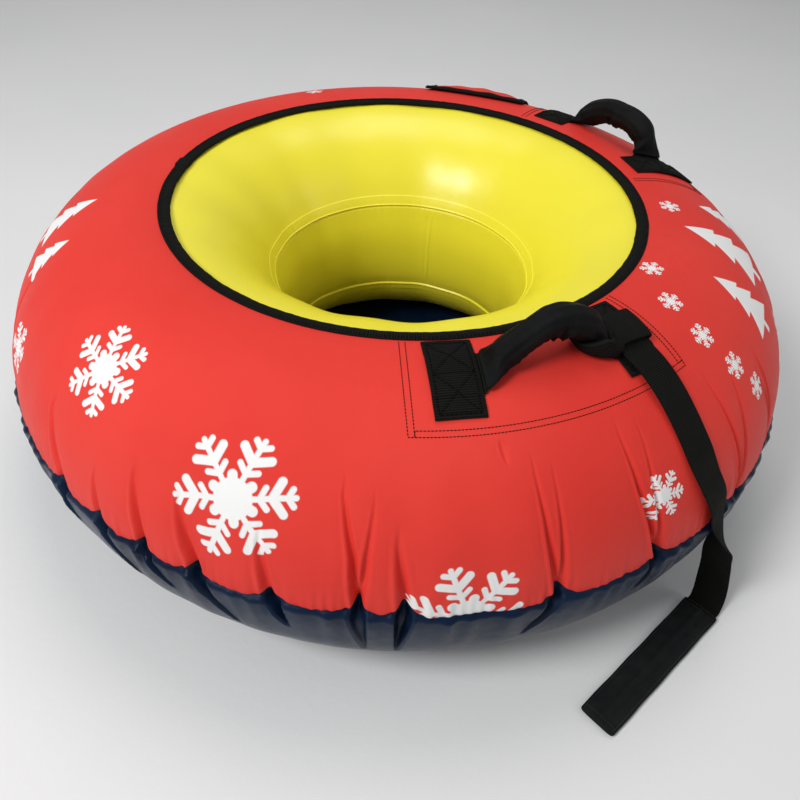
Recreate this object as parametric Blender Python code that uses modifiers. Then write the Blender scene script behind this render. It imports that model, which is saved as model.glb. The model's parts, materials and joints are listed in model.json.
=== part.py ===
"""A snow tube: an inflated inner tube in a sewn cover, with two padded handles and a leash.

Metres, +Z up. The origin is the middle of the underside. Angles are in degrees about +Z,
counted from +X, and the front of the tube faces -Y.
"""

import math

import bmesh
import bpy
import numpy as np
from mathutils import Matrix, Vector

# Section of the tube, on the outer face of its cover: its crown lies just outside the opening's binding
OUTER_RADIUS = 0.500
BINDING_OUTER_RADIUS = 0.301
CROWN_SETBACK = 0.014
SECTION_RADIUS = BINDING_OUTER_RADIUS + CROWN_SETBACK
HOLE_RADIUS = 0.159
CROWN_HEIGHT = 0.347
WAIST_HEIGHT = 0.170
UPPER_POWER = 2.0
LOWER_POWER = 2.3

# Clearance between pieces that touch, and how far a cutter runs past what it cuts
TOUCH_GAP = 0.0003
CUT_OVERRUN = 0.004
WELD_DISTANCE = 0.00005

# Facets round the tube: the inner tube has one for every two of the cover's
COVER_COLUMNS = 72
TUBE_COLUMNS = 36

# Cover and its gathered seam
COVER_WALL = 0.0012
SEAM_HEIGHT = 0.183
SEAM_LAP = 0.012
SCALLOP_DROP = 0.006
PUCKER_DEPTH = 0.008
PUCKER_REACH_UP = 0.055
PUCKER_REACH_DOWN = 0.030
PUCKER_COLUMNS = 3
COVER_ROWS = (90, 80, 70, 60, 50, 41, 32, 24, 16)
BOTTOM_ROWS = (-3, -12, -24, -38, -54, -72, -90)

# Webbing binding of the opening, and the cover's edge, which lies inside it
BINDING_WALL = 0.0012
BINDING_WIDTH = 0.0155
BINDING_LAP = 0.0065
BINDING_INNER_RADIUS = BINDING_OUTER_RADIUS - BINDING_WIDTH
OPENING_RADIUS = BINDING_OUTER_RADIUS - BINDING_LAP

# Inner tube, its welds and its valve port
TUBE_WALL = 0.001
WELD_RIDGE = 0.0015
WELD_HALF_WIDTH = 0.004
UPPER_WELD_HEIGHT = 0.2465
LOWER_WELD_HEIGHT = 0.093
SHOULDER_ROWS = (104, 118, 132, 144)
HOLE_WALL_ROWS = (166, 180, 194)
UNDER_ROWS = (222, 245, 270, 306, 336, 357)
OUTSIDE_ROWS = (16, 32, 50, 70, 90)

# Reinforcements sewn inside the cover behind the handles
LINER_WALL = 0.0012
LINER_ROWS = (90, 80, 70, 60)
FRONT_LINER_START = -90
REAR_LINER_START = 10
LINER_STEPS = 9

# Handle webbing
WEBBING_WALL = 0.0016
PATCH_WALL = 0.0018
PATCH_WIDTH = 0.047
PATCH_LENGTH = 0.091
PATCH_ROWS = 6
TAIL_LENGTH = 0.036
STRAP_WIDTH = 0.046
STRAP_EXIT = 0.003
STRAP_LEAD = 0.0035
STRAP_STEPS = 16
STRAP_COLUMNS = 4
FOLDED_STRAP_WIDTH = 0.026

# Handle grips
FRONT_HANDLE_RISE = 0.040
REAR_HANDLE_RISE = 0.036
ARCH_POWER = 2.2
SLEEVE_RADIUS = 0.0165
SLEEVE_WALL = 0.0012
FOAM_CLEARANCE = 0.0005
FOAM_END_SETBACK = 0.002
CORE_SLOT_HALF_WIDTH = 0.0146
CORE_SLOT_HALF_HEIGHT = 0.0032
CUFF_START = 0.005
CUFF_LENGTH = 0.020
CUFF_STEPS = 3
CUFF_HALF_WIDTH = 0.0235
CUFF_HALF_HEIGHT = 0.0045
SLEEVE_END_RADIUS = 0.0140
SLEEVE_TAPER = 0.014
GRIP_SIDES = 12
GRIP_STEPS = 10

# Where the handles are sewn: angle and heading of each patch, in degrees
FRONT_PATCH_GAP = 0.0025
FRONT_PATCH_RADIUS = BINDING_OUTER_RADIUS + FRONT_PATCH_GAP + PATCH_LENGTH / 2
FRONT_PATCHES = ((-81.3, -80.5), (-51.0, -56.0))
REAR_PATCH_GAP = 0.0195
REAR_PATCH_RADIUS = BINDING_OUTER_RADIUS + REAR_PATCH_GAP + PATCH_LENGTH / 2
REAR_PATCHES = ((19.0, 17.5), (49.7, 51.0))

# How far the straps leave the patches inwards of their middles
FRONT_FOOT_SHIFT = 0.0
REAR_FOOT_SHIFT = 0.002

# Leash hitch on the front handle
HITCH_WALL = 0.0018
HITCH_WIDTH = 0.038
HITCH_FOLD_REACH = 0.0285
HITCH_FOLD_RADIUS = 0.0035
HITCH_TOP_LIFT = 0.0165
HITCH_LOWER_START = 0.020
HITCH_UPPER_END = 0.0215
WRAP_START = 0.0075
WRAP_END = 0.0225

# Leash strap and the padded grip on its end
LEASH_WIDTH = 0.038
LEASH_WALL = 0.0018
LEASH_ROWS = 40
GRIP_LENGTH = 0.211
GRIP_WIDTH = 0.043
GRIP_HEIGHT = 0.010
GRIP_ROUNDING = 0.0042
GRIP_HEADING = -136.0
GRIP_SLOT_CLEARANCE = 0.0006
GRIP_SLOT_DEPTH = 0.196
LEASH_IN_GRIP = 0.190

# Route of the leash: x, y and height above the cover of the laid points
LEASH_LAID = (
    (0.2322, -0.2908, 0.0055),
    (0.2385, -0.2975, 0.0055),
    (0.2465, -0.3060, 0.0055),
    (0.2575, -0.3170, 0.0053),
    (0.2695, -0.3275, 0.0038),
    (0.2825, -0.3380, 0.0022),
    (0.2950, -0.3475, 0.0018),
    (0.3060, -0.3550, 0.0024),
)
# Hanging points: x, y, height over the floor, and the way the outer face looks
LEASH_HANGING = (
    (0.3215, -0.3640, 0.2440, (0.72, -0.60, 0.40)),
    (0.3375, -0.3680, 0.2150, (0.76, -0.58, 0.26)),
    (0.3478, -0.3660, 0.1850, (0.84, -0.50, 0.10)),
    (0.3592, -0.3618, 0.1560, (0.97, -0.16, 0.02)),
    (0.3697, -0.3552, 0.1260, (0.92, 0.36, -0.02)),
    (0.3775, -0.3477, 0.0940, (0.78, 0.62, -0.04)),
    (0.3860, -0.3436, 0.0640, (0.74, 0.64, -0.16)),
    (0.3915, -0.3430, 0.0370, (0.60, 0.58, -0.54)),
    (0.3915, -0.3500, 0.0160, (0.42, 0.42, -0.80)),
    (0.3868, -0.3582, 0.0058, (0.10, 0.10, -0.99)),
)
GRIP_START = (0.3820, -0.3628)

# Access flap over the valve
VALVE_ANGLE = 75.0
FLAP_ANGLE = 73.0
FLAP_NEAR_SHARE = 31 / 185
FLAP_HINGE_SHARE = 26 / 37
FLAP_NEAR_RADIUS = SECTION_RADIUS + (OUTER_RADIUS - SECTION_RADIUS) * FLAP_NEAR_SHARE
FLAP_HINGE_RADIUS = SECTION_RADIUS + (OUTER_RADIUS - SECTION_RADIUS) * FLAP_HINGE_SHARE
FLAP_HALF_WIDTH = 0.079
FLAP_WALL = 0.0012
FLAP_HINGE_LIFT = 0.0005
FLAP_EDGE_LIFT = 0.0036
FLAP_DOME = 0.0075
FLAP_BINDING_WIDTH = 0.009
FLAP_BINDING_GRIP = 0.006
FLAP_ROWS = 7
FLAP_COLUMNS = 6
WINDOW_RADIUS = 0.030
WINDOW_DEPTH = 0.030

# Valve, turned about its own axis, heights above the face of the inner tube
BASE_FLANGE_RADIUS = 0.026
BASE_FLANGE_WALL = 0.0015
BASE_NECK_RADIUS = 0.0165
BASE_BORE_RADIUS = 0.0135
BASE_NECK_DEPTH = 0.012
INSERT_FLANGE_RADIUS = 0.0155
INSERT_FLANGE_WALL = 0.0018
INSERT_BORE_RADIUS = 0.0075
INSERT_DEPTH = 0.010
POCKET_DEPTH = 0.0025
POCKET_WALL = 0.0022
MEMBRANE_WALL = 0.0008
MEMBRANE_CLEARANCE = 0.0005
CAP_RADIUS = 0.0150
CAP_WALL = 0.0022
CAP_CROWN = 0.0010
CAP_PLUG_DEPTH = 0.004
CAP_GRIP_LENGTH = 0.018
CAP_GRIP_WIDTH = 0.0035
CAP_GRIP_HEIGHT = 0.0022
VALVE_SIDES = 24

RED = (0.72, 0.055, 0.045)
YELLOW = (0.86, 0.80, 0.05)
NEAR_BLACK_BLUE = (0.004, 0.008, 0.020)
BLACK = (0.012, 0.012, 0.013)
SLEEVE_BLACK = (0.016, 0.017, 0.019)
FOAM_GREY = (0.10, 0.10, 0.10)
VALVE_WHITE = (0.70, 0.70, 0.68)
RUBBER_GREY = (0.05, 0.05, 0.05)


# Scene and object helpers


def clear_scene():
    for obj in list(bpy.data.objects):
        bpy.data.objects.remove(obj, do_unlink=True)
    for collection in list(bpy.data.collections):
        bpy.data.collections.remove(collection)


def new_collection(name):
    collection = bpy.data.collections.new(name)
    bpy.context.scene.collection.children.link(collection)
    return collection


def new_material(name, colour, roughness, metallic=0.0):
    material = bpy.data.materials.new(name)
    material.use_nodes = True
    shader = material.node_tree.nodes["Principled BSDF"]
    shader.inputs["Base Color"].default_value = (*colour, 1.0)
    shader.inputs["Roughness"].default_value = roughness
    shader.inputs["Metallic"].default_value = metallic
    return material


def new_object(name, mesh, material=None):
    obj = bpy.data.objects.new(name, mesh)
    PARTS.objects.link(obj)
    if material is not None:
        mesh.materials.append(material)
    return obj


def baked(obj):
    """Turns the object's modifiers into its mesh."""
    graph = bpy.context.evaluated_depsgraph_get()
    mesh = bpy.data.meshes.new_from_object(obj.evaluated_get(graph))
    obj.modifiers.clear()
    old = obj.data
    obj.data = mesh
    bpy.data.meshes.remove(old)
    return obj


def shade_smooth(obj, sharp_angle=40.0):
    obj.data.shade_smooth()
    obj.data.set_sharp_from_angle(angle=math.radians(sharp_angle))


def as_cutter(obj):
    """Moves a helper to the collection of cutters, where it isn't rendered."""
    PARTS.objects.unlink(obj)
    CUTTERS.objects.link(obj)
    obj.hide_render = True
    obj.display_type = "WIRE"
    return obj


def cut(obj, cutter, operation="DIFFERENCE"):
    boolean = obj.modifiers.new("Cut", "BOOLEAN")
    boolean.object = cutter
    boolean.operation = operation
    boolean.solver = "EXACT"


def add_wall(obj, wall, offset):
    solidify = obj.modifiers.new("Wall", "SOLIDIFY")
    solidify.thickness = wall
    solidify.offset = offset
    solidify.use_even_offset = True


# Section of the tube


def signed_power(value, power):
    return math.copysign(abs(value) ** power, value)


def tube_inset():
    """How far the inner tube lies inside the cover's outer face: the cover and its thickest lining."""
    return COVER_WALL + max(COVER_WALL, LINER_WALL, BINDING_WALL) + 2 * TOUCH_GAP


def half_widths(inset):
    """Half width of the section on its outer and on its hole side."""
    outside = OUTER_RADIUS - SECTION_RADIUS - inset
    inside = SECTION_RADIUS - HOLE_RADIUS + tube_inset() - inset
    return outside, inside


def section_point(angle, inset=0.0, foot_inset=0.0):
    """(radius, height) on the section: 0 degrees is the outermost point, 90 the crown, 270 the foot."""
    across = math.cos(math.radians(angle))
    up = math.sin(math.radians(angle))
    power = 2 / (UPPER_POWER if up > 0 else LOWER_POWER)
    outside, inside = half_widths(inset)
    half_width = outside if across > 0 else inside
    half_height = CROWN_HEIGHT - WAIST_HEIGHT - inset if up > 0 else WAIST_HEIGHT - foot_inset
    radius = SECTION_RADIUS + half_width * signed_power(across, power)
    height = WAIST_HEIGHT + half_height * signed_power(up, power)
    return radius, height


def angle_at_height(height, inset=0.0, foot_inset=0.0):
    """Section angle on the outer side at a height."""
    above = height >= WAIST_HEIGHT
    half_height = CROWN_HEIGHT - WAIST_HEIGHT - inset if above else WAIST_HEIGHT - foot_inset
    power = (UPPER_POWER if above else LOWER_POWER) / 2
    share = abs(height - WAIST_HEIGHT) / half_height
    angle = math.degrees(math.asin(share ** power))
    return angle if above else -angle


def cover_height(radius):
    """Height of the cover's outer face on the upper side."""
    outside, inside = half_widths(0.0)
    half_width = outside if radius > SECTION_RADIUS else inside
    share = min(abs(radius - SECTION_RADIUS) / half_width, 1.0)
    rise = CROWN_HEIGHT - WAIST_HEIGHT
    return WAIST_HEIGHT + rise * (1 - share ** UPPER_POWER) ** (1 / UPPER_POWER)


def cover_slope(radius):
    """Fall of the upper face per length outwards, as an angle in radians."""
    step = COVER_WALL
    drop = cover_height(radius - step) - cover_height(radius + step)
    return math.atan2(drop, 2 * step)


def on_cover(x, y, lift):
    """Point a lift off the cover, square to it."""
    radius = math.hypot(x, y)
    slope = cover_slope(radius)
    spread = 1 + lift * math.sin(slope) / radius
    return Vector((x * spread, y * spread, cover_height(radius) + lift * math.cos(slope)))


def cover_normal(point):
    """Outward normal of the cover near a point, level below the waist."""
    radius = math.hypot(point.x, point.y)
    outside = half_widths(0.0)[0]
    rise = CROWN_HEIGHT - WAIST_HEIGHT
    outwards = (radius - SECTION_RADIUS) / outside ** 2
    upwards = max(point.z - WAIST_HEIGHT, 0) / rise ** 2
    radial = Vector((point.x, point.y, 0)).normalized()
    return (radial * outwards + Vector((0, 0, 1)) * upwards).normalized()


# Turned pieces and the gathers


def turned(name, profile, steps, material=None, closed=False, sweep=360, start=0):
    """A profile of (radius, height) points turned about +Z."""
    mesh = bpy.data.meshes.new(name)
    edges = [(i, i + 1) for i in range(len(profile) - 1)]
    if closed:
        edges.append((len(profile) - 1, 0))
    mesh.from_pydata([(radius, 0, height) for radius, height in profile], edges, [])
    obj = new_object(name, mesh)
    screw = obj.modifiers.new("Turn", "SCREW")
    screw.angle = math.radians(sweep)
    screw.steps = steps
    screw.render_steps = steps
    screw.use_merge_vertices = True
    screw.merge_threshold = WELD_DISTANCE
    baked(obj)
    obj.data.transform(Matrix.Rotation(math.radians(start), 4, "Z"))
    if material is not None:
        obj.data.materials.append(material)
    return obj


def gather_weight(height):
    """How strongly the seam's gathers draw the fabric at a height, 1 at the seam."""
    away = height - SEAM_HEIGHT
    reach = PUCKER_REACH_UP if away > 0 else PUCKER_REACH_DOWN
    return math.exp(-((away / reach) ** 2))


def is_pucker(x, y):
    """True on the columns where the seam is drawn in, and false on the lobes between them."""
    column = round(math.degrees(math.atan2(y, x)) * COVER_COLUMNS / 360)
    return column % PUCKER_COLUMNS == 0


def gather(obj):
    """Draws the cover in and up at each pucker and lets it hang in the lobes between."""
    for vertex in obj.data.vertices:
        x, y, z = vertex.co
        radius = math.hypot(x, y)
        if radius < SECTION_RADIUS:
            continue
        weight = gather_weight(z)
        pucker = is_pucker(x, y)
        drawn = radius - (PUCKER_DEPTH * weight if pucker else 0)
        rise = SCALLOP_DROP * weight * (1 if pucker else -1)
        vertex.co = (x * drawn / radius, y * drawn / radius, z + rise)


def make_room_for_gathers(obj):
    """Draws the inner tube in all round, so that it clears the puckers."""
    for vertex in obj.data.vertices:
        x, y, z = vertex.co
        radius = math.hypot(x, y)
        if radius < SECTION_RADIUS:
            continue
        drawn = radius - PUCKER_DEPTH * gather_weight(z)
        vertex.co = (x * drawn / radius, y * drawn / radius, z)


# Cover


def opening_angle():
    """Section angle of the cover's edge at the opening."""
    outside, inside = half_widths(0.0)
    half_width = outside if OPENING_RADIUS > SECTION_RADIUS else inside
    share = (OPENING_RADIUS - SECTION_RADIUS) / half_width
    return math.degrees(math.acos(signed_power(share, UPPER_POWER / 2)))


def cover_rows():
    """Section angles from the cover's edge down to its seam, shared with the inner tube up to the crown."""
    edge = opening_angle()
    return [edge, *[row for row in (*reversed(SHOULDER_ROWS), *COVER_ROWS) if row < edge]]


def make_top_cover():
    lap_top = SEAM_HEIGHT + SEAM_LAP
    rows = [*cover_rows(), angle_at_height(lap_top), angle_at_height(SEAM_HEIGHT)]
    profile = [section_point(row) for row in rows]
    cover = turned("top_cover", profile, COVER_COLUMNS, new_material("Red coated fabric", RED, 0.5))
    gather(cover)
    add_wall(cover, COVER_WALL, -1)
    window = bpy.data.meshes.new("cut_window")
    shaping = bmesh.new()
    bmesh.ops.create_cone(
        shaping, cap_ends=True, segments=VALVE_SIDES, radius1=WINDOW_RADIUS, radius2=WINDOW_RADIUS,
        depth=WINDOW_DEPTH,
    )
    shaping.to_mesh(window)
    shaping.free()
    cutter = as_cutter(new_object("cut_window", window))
    quarter_side = math.pi / VALVE_SIDES / 2
    cutter.matrix_world = valve_frame() @ Matrix.Rotation(quarter_side, 4, "Z")
    cut(cover, cutter)
    shade_smooth(cover)


def make_bottom_cover():
    inset = COVER_WALL + TOUCH_GAP
    lap_top = SEAM_HEIGHT + SEAM_LAP
    rows = [angle_at_height(lap_top, inset), angle_at_height(SEAM_HEIGHT, inset), *BOTTOM_ROWS]
    profile = [section_point(row, inset) for row in rows]
    profile.append((0, 0))
    material = new_material("Glossy dark fabric", NEAR_BLACK_BLUE, 0.18)
    cover = turned("bottom_cover", profile, COVER_COLUMNS, material)
    gather(cover)
    add_wall(cover, COVER_WALL, -1)
    shade_smooth(cover)


def beside_opening(radius, lift):
    """(radius, height) beside the cover's edge, a lift square to its first facet."""
    edge, beyond = [Vector(section_point(row)) for row in cover_rows()[:2]]
    inwards = (edge - beyond).normalized()
    square = Vector((inwards.y, -inwards.x))
    place = edge + inwards * (edge.x - radius) + square * lift
    return place.x, place.y


def make_opening_binding():
    """Webbing folded over the edge of the cover, with the slot that the edge sits in."""
    top = TOUCH_GAP + BINDING_WALL
    under = -COVER_WALL - TOUCH_GAP
    bottom = under - BINDING_WALL
    slot_end = OPENING_RADIUS - 2 * TOUCH_GAP
    profile = [
        beside_opening(slot_end, top),
        beside_opening(BINDING_OUTER_RADIUS, top),
        beside_opening(BINDING_OUTER_RADIUS, TOUCH_GAP),
        beside_opening(slot_end, TOUCH_GAP),
        beside_opening(slot_end, under),
        beside_opening(BINDING_OUTER_RADIUS, under),
        beside_opening(BINDING_OUTER_RADIUS, bottom),
        beside_opening(slot_end, bottom),
        beside_opening(BINDING_INNER_RADIUS, bottom),
        beside_opening(BINDING_INNER_RADIUS, top),
    ]
    material = new_material("Black binding", BLACK, 0.75)
    binding = turned("opening_binding", profile, COVER_COLUMNS, material, closed=True)
    shade_smooth(binding, 30)


def make_liner(name, start):
    """Backing sewn inside the cover behind a handle."""
    profile = [section_point(row, COVER_WALL + TOUCH_GAP) for row in LINER_ROWS]
    sweep = LINER_STEPS * 360 / COVER_COLUMNS
    material = new_material("Backing fabric " + name, BLACK, 0.6)
    liner = turned(name, profile, LINER_STEPS, material, sweep=sweep, start=start)
    add_wall(liner, LINER_WALL, -1)
    shade_smooth(liner)


# Inner tube


def tube_point(angle):
    return section_point(angle, tube_inset(), COVER_WALL + TOUCH_GAP)


def weld_rows(height):
    """Three points of a welded seam that stands proud of the hole's side."""
    angle = 180 - angle_at_height(height, tube_inset(), COVER_WALL + TOUCH_GAP)
    before = 1 if height > WAIST_HEIGHT else -1
    middle_radius, middle_height = tube_point(angle)
    spread = WELD_HALF_WIDTH * math.sqrt(0.5)
    above = (middle_radius + spread * before, middle_height + spread)
    below = (middle_radius - spread * before, middle_height - spread)
    ridge = (middle_radius - WELD_RIDGE, middle_height + WELD_RIDGE * before)
    return [below, ridge, above]


def make_inner_tube():
    """Two sheets and a hole wall, welded along two rings, blown up tight."""
    upper = list(reversed(weld_rows(UPPER_WELD_HEIGHT)))
    lower = list(reversed(weld_rows(LOWER_WELD_HEIGHT)))
    shoulder = [tube_point(row) for row in SHOULDER_ROWS]
    hole_wall = [tube_point(row) for row in HOLE_WALL_ROWS]
    under = [tube_point(row) for row in UNDER_ROWS]
    outside = [tube_point(row) for row in OUTSIDE_ROWS]
    profile = [*shoulder, *upper, *hole_wall, *lower, *under, *outside]
    profile.reverse()
    material = new_material("Yellow vinyl", YELLOW, 0.35)
    tube = turned("inner_tube", profile, TUBE_COLUMNS, material, closed=True)
    make_room_for_gathers(tube)
    add_wall(tube, TUBE_WALL, -1)
    port = bpy.data.meshes.new("cut_port")
    shaping = bmesh.new()
    bmesh.ops.create_cone(
        shaping, cap_ends=True, segments=VALVE_SIDES,
        radius1=BASE_NECK_RADIUS + TOUCH_GAP, radius2=BASE_NECK_RADIUS + TOUCH_GAP,
        depth=WINDOW_DEPTH,
    )
    shaping.to_mesh(port)
    shaping.free()
    cutter = as_cutter(new_object("cut_port", port))
    cutter.matrix_world = valve_frame()
    cut(tube, cutter)
    shade_smooth(tube)


# Valve


def valve_frame():
    """Matrix of the valve's seat: the middle of a flat facet of the inner tube, looking out."""
    lower_row, upper_row = OUTSIDE_ROWS[2], OUTSIDE_ROWS[3]
    low = Vector(tube_point(lower_row))
    high = Vector(tube_point(upper_row))
    middle = (low + high) / 2
    flat = math.cos(math.pi / TUBE_COLUMNS)
    out = Vector((high.y - low.y, (low.x - high.x) * flat)).normalized()
    turn = math.radians(VALVE_ANGLE)
    radial = Vector((math.cos(turn), math.sin(turn), 0))
    normal = radial * out.x + Vector((0, 0, 1)) * out.y
    tangent = Vector((-radial.y, radial.x, 0))
    across = normal.cross(tangent)
    seat = radial * middle.x * flat + Vector((0, 0, 1)) * middle.y
    frame = Matrix((tangent, -across, normal)).transposed().to_4x4()
    if frame.determinant() < 0:
        frame = Matrix((tangent, across, normal)).transposed().to_4x4()
    frame.translation = seat
    return frame


def make_valve_piece(name, profile, material):
    piece = turned(name, profile, VALVE_SIDES, material, closed=True)
    piece.matrix_world = valve_frame()
    shade_smooth(piece)
    return piece


def base_top():
    return TOUCH_GAP + BASE_FLANGE_WALL


def insert_top():
    return base_top() + TOUCH_GAP + INSERT_FLANGE_WALL


def insert_barrel_radius():
    return BASE_BORE_RADIUS - TOUCH_GAP


def pocket_radius():
    return insert_barrel_radius() - POCKET_WALL


def make_valve():
    white = new_material("Valve plastic", VALVE_WHITE, 0.4)
    base = [
        (BASE_BORE_RADIUS, base_top()),
        (BASE_FLANGE_RADIUS, base_top()),
        (BASE_FLANGE_RADIUS, TOUCH_GAP),
        (BASE_NECK_RADIUS, TOUCH_GAP),
        (BASE_NECK_RADIUS, -BASE_NECK_DEPTH),
        (BASE_BORE_RADIUS, -BASE_NECK_DEPTH),
    ]
    make_valve_piece("valve_base", base, white)
    barrel = insert_barrel_radius()
    insert = [
        (INSERT_BORE_RADIUS, insert_top()),
        (INSERT_FLANGE_RADIUS, insert_top()),
        (INSERT_FLANGE_RADIUS, base_top() + TOUCH_GAP),
        (barrel, base_top() + TOUCH_GAP),
        (barrel, -INSERT_DEPTH),
        (pocket_radius(), -INSERT_DEPTH),
        (pocket_radius(), POCKET_DEPTH - INSERT_DEPTH),
        (INSERT_BORE_RADIUS, POCKET_DEPTH - INSERT_DEPTH),
    ]
    make_valve_piece("valve_insert", insert, new_material("Valve insert plastic", VALVE_WHITE, 0.35))
    make_membrane()
    make_cap()


def solid_disc_profile(radius, top, bottom):
    return [(0, top), (radius, top), (radius, bottom), (0, bottom)]


def make_membrane():
    """Soft disc that shuts the insert's bore from inside."""
    top = POCKET_DEPTH - INSERT_DEPTH - TOUCH_GAP
    radius = pocket_radius() - MEMBRANE_CLEARANCE
    profile = solid_disc_profile(radius, top, top - MEMBRANE_WALL)
    membrane = turned("valve_membrane", profile, VALVE_SIDES, new_material("Membrane rubber", RUBBER_GREY, 0.7))
    membrane.matrix_world = valve_frame()
    shade_smooth(membrane)


def make_cap():
    """Cap with a plug in the insert's bore and a finger bar on top."""
    under = insert_top() + TOUCH_GAP
    plug = INSERT_BORE_RADIUS - TOUCH_GAP
    profile = [
        (0, under + CAP_WALL + CAP_CROWN),
        (CAP_GRIP_LENGTH / 2, under + CAP_WALL + CAP_CROWN / 2),
        (CAP_RADIUS, under + CAP_WALL - CAP_CROWN),
        (CAP_RADIUS, under),
        (plug, under),
        (plug, under - CAP_PLUG_DEPTH),
        (0, under - CAP_PLUG_DEPTH),
    ]
    cap = turned("valve_cap", profile, VALVE_SIDES, new_material("Valve cap plastic", RED, 0.4))
    cap.matrix_world = valve_frame()
    shaping = bmesh.new()
    bmesh.ops.create_cube(shaping, size=1)
    scale = Matrix.Diagonal((CAP_GRIP_LENGTH, CAP_GRIP_WIDTH, CAP_WALL + CAP_GRIP_HEIGHT, 1))
    bmesh.ops.transform(shaping, matrix=scale, verts=shaping.verts)
    bar_mesh = bpy.data.meshes.new("join_cap_bar")
    shaping.to_mesh(bar_mesh)
    shaping.free()
    bar = as_cutter(new_object("join_cap_bar", bar_mesh))
    height = under + CAP_WALL / 2 + (CAP_WALL + CAP_GRIP_HEIGHT) / 2
    bar.matrix_world = valve_frame() @ Matrix.Translation((0, 0, height))
    cut(cap, bar, "UNION")
    shade_smooth(cap, 30)


# Sheets and lofted tubes


def sheet(name, rows, wall, material, up, offset=1):
    """A grid laid through rows of points, thickened on the side that up looks to."""
    shaping = bmesh.new()
    count = len(rows[0])
    bmesh.ops.create_grid(shaping, x_segments=count - 1, y_segments=len(rows) - 1, size=1)
    vertices = sorted(shaping.verts, key=lambda vertex: (round(vertex.co.y, 6), vertex.co.x))
    for index, vertex in enumerate(vertices):
        vertex.co = rows[index // count][index % count]
    shaping.normal_update()
    shaping.faces.ensure_lookup_table()
    first = min(shaping.faces, key=lambda face: (face.calc_center_median() - rows[0][0]).length)
    if first.normal.dot(up) < 0:
        bmesh.ops.reverse_faces(shaping, faces=shaping.faces)
    bmesh.ops.triangulate(shaping, faces=shaping.faces, quad_method="FIXED")
    mesh = bpy.data.meshes.new(name)
    shaping.to_mesh(mesh)
    shaping.free()
    obj = new_object(name, mesh, material)
    if wall:
        add_wall(obj, wall, offset)
        obj.modifiers["Wall"].use_even_offset = False
    shade_smooth(obj)
    return obj


def loft(name, rings, material, closed=False):
    """Faces between rings of points, each ring closed, and with closed the last ring joined to the first."""
    count = len(rings[0])
    points = [tuple(point) for ring in rings for point in ring]
    faces = []
    for row in range(len(rings) if closed else len(rings) - 1):
        following = (row + 1) % len(rings)
        for side in range(count):
            beside = (side + 1) % count
            faces.append(
                (row * count + side, row * count + beside, following * count + beside, following * count + side)
            )
    mesh = bpy.data.meshes.new(name)
    mesh.from_pydata(points, [], faces)
    shaping = bmesh.new()
    shaping.from_mesh(mesh)
    bmesh.ops.recalc_face_normals(shaping, faces=shaping.faces)
    shaping.to_mesh(mesh)
    shaping.free()
    obj = new_object(name, mesh, material)
    shade_smooth(obj)
    return obj


# Handles


def direction(degrees):
    turn = math.radians(degrees)
    return Vector((math.cos(turn), math.sin(turn), 0))


def patch_frame(radius, angle, heading):
    """Centre of a patch in plan, the direction of its length and the direction across it."""
    centre = direction(angle) * radius
    along = direction(heading)
    across = Vector((-along.y, along.x, 0))
    return centre, along, across


def patch_lift():
    """Height of a patch's underside above the cover: the strap's tail lies below it."""
    return WEBBING_WALL + 2 * TOUCH_GAP


def patch_top():
    return patch_lift() + PATCH_WALL


def make_patch(name, radius, angle, heading):
    """Webbing rectangle sewn over the end of a handle's strap."""
    centre, along, across = patch_frame(radius, angle, heading)
    rows = []
    for row in range(PATCH_ROWS + 1):
        lengthwise = centre + along * PATCH_LENGTH * (row / PATCH_ROWS - 0.5)
        shares = [column / STRAP_COLUMNS - 0.5 for column in range(STRAP_COLUMNS + 1)]
        points = [lengthwise + across * PATCH_WIDTH * share for share in shares]
        rows.append([on_cover(point.x, point.y, patch_lift()) for point in points])
    sheet(name, rows, PATCH_WALL, new_material("Black webbing " + name, BLACK, 0.8), Vector((0, 0, 1)))


def ease(share):
    """Smooth step from 0 to 1."""
    share = min(max(share, 0), 1)
    return share * share * (3 - 2 * share)


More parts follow.
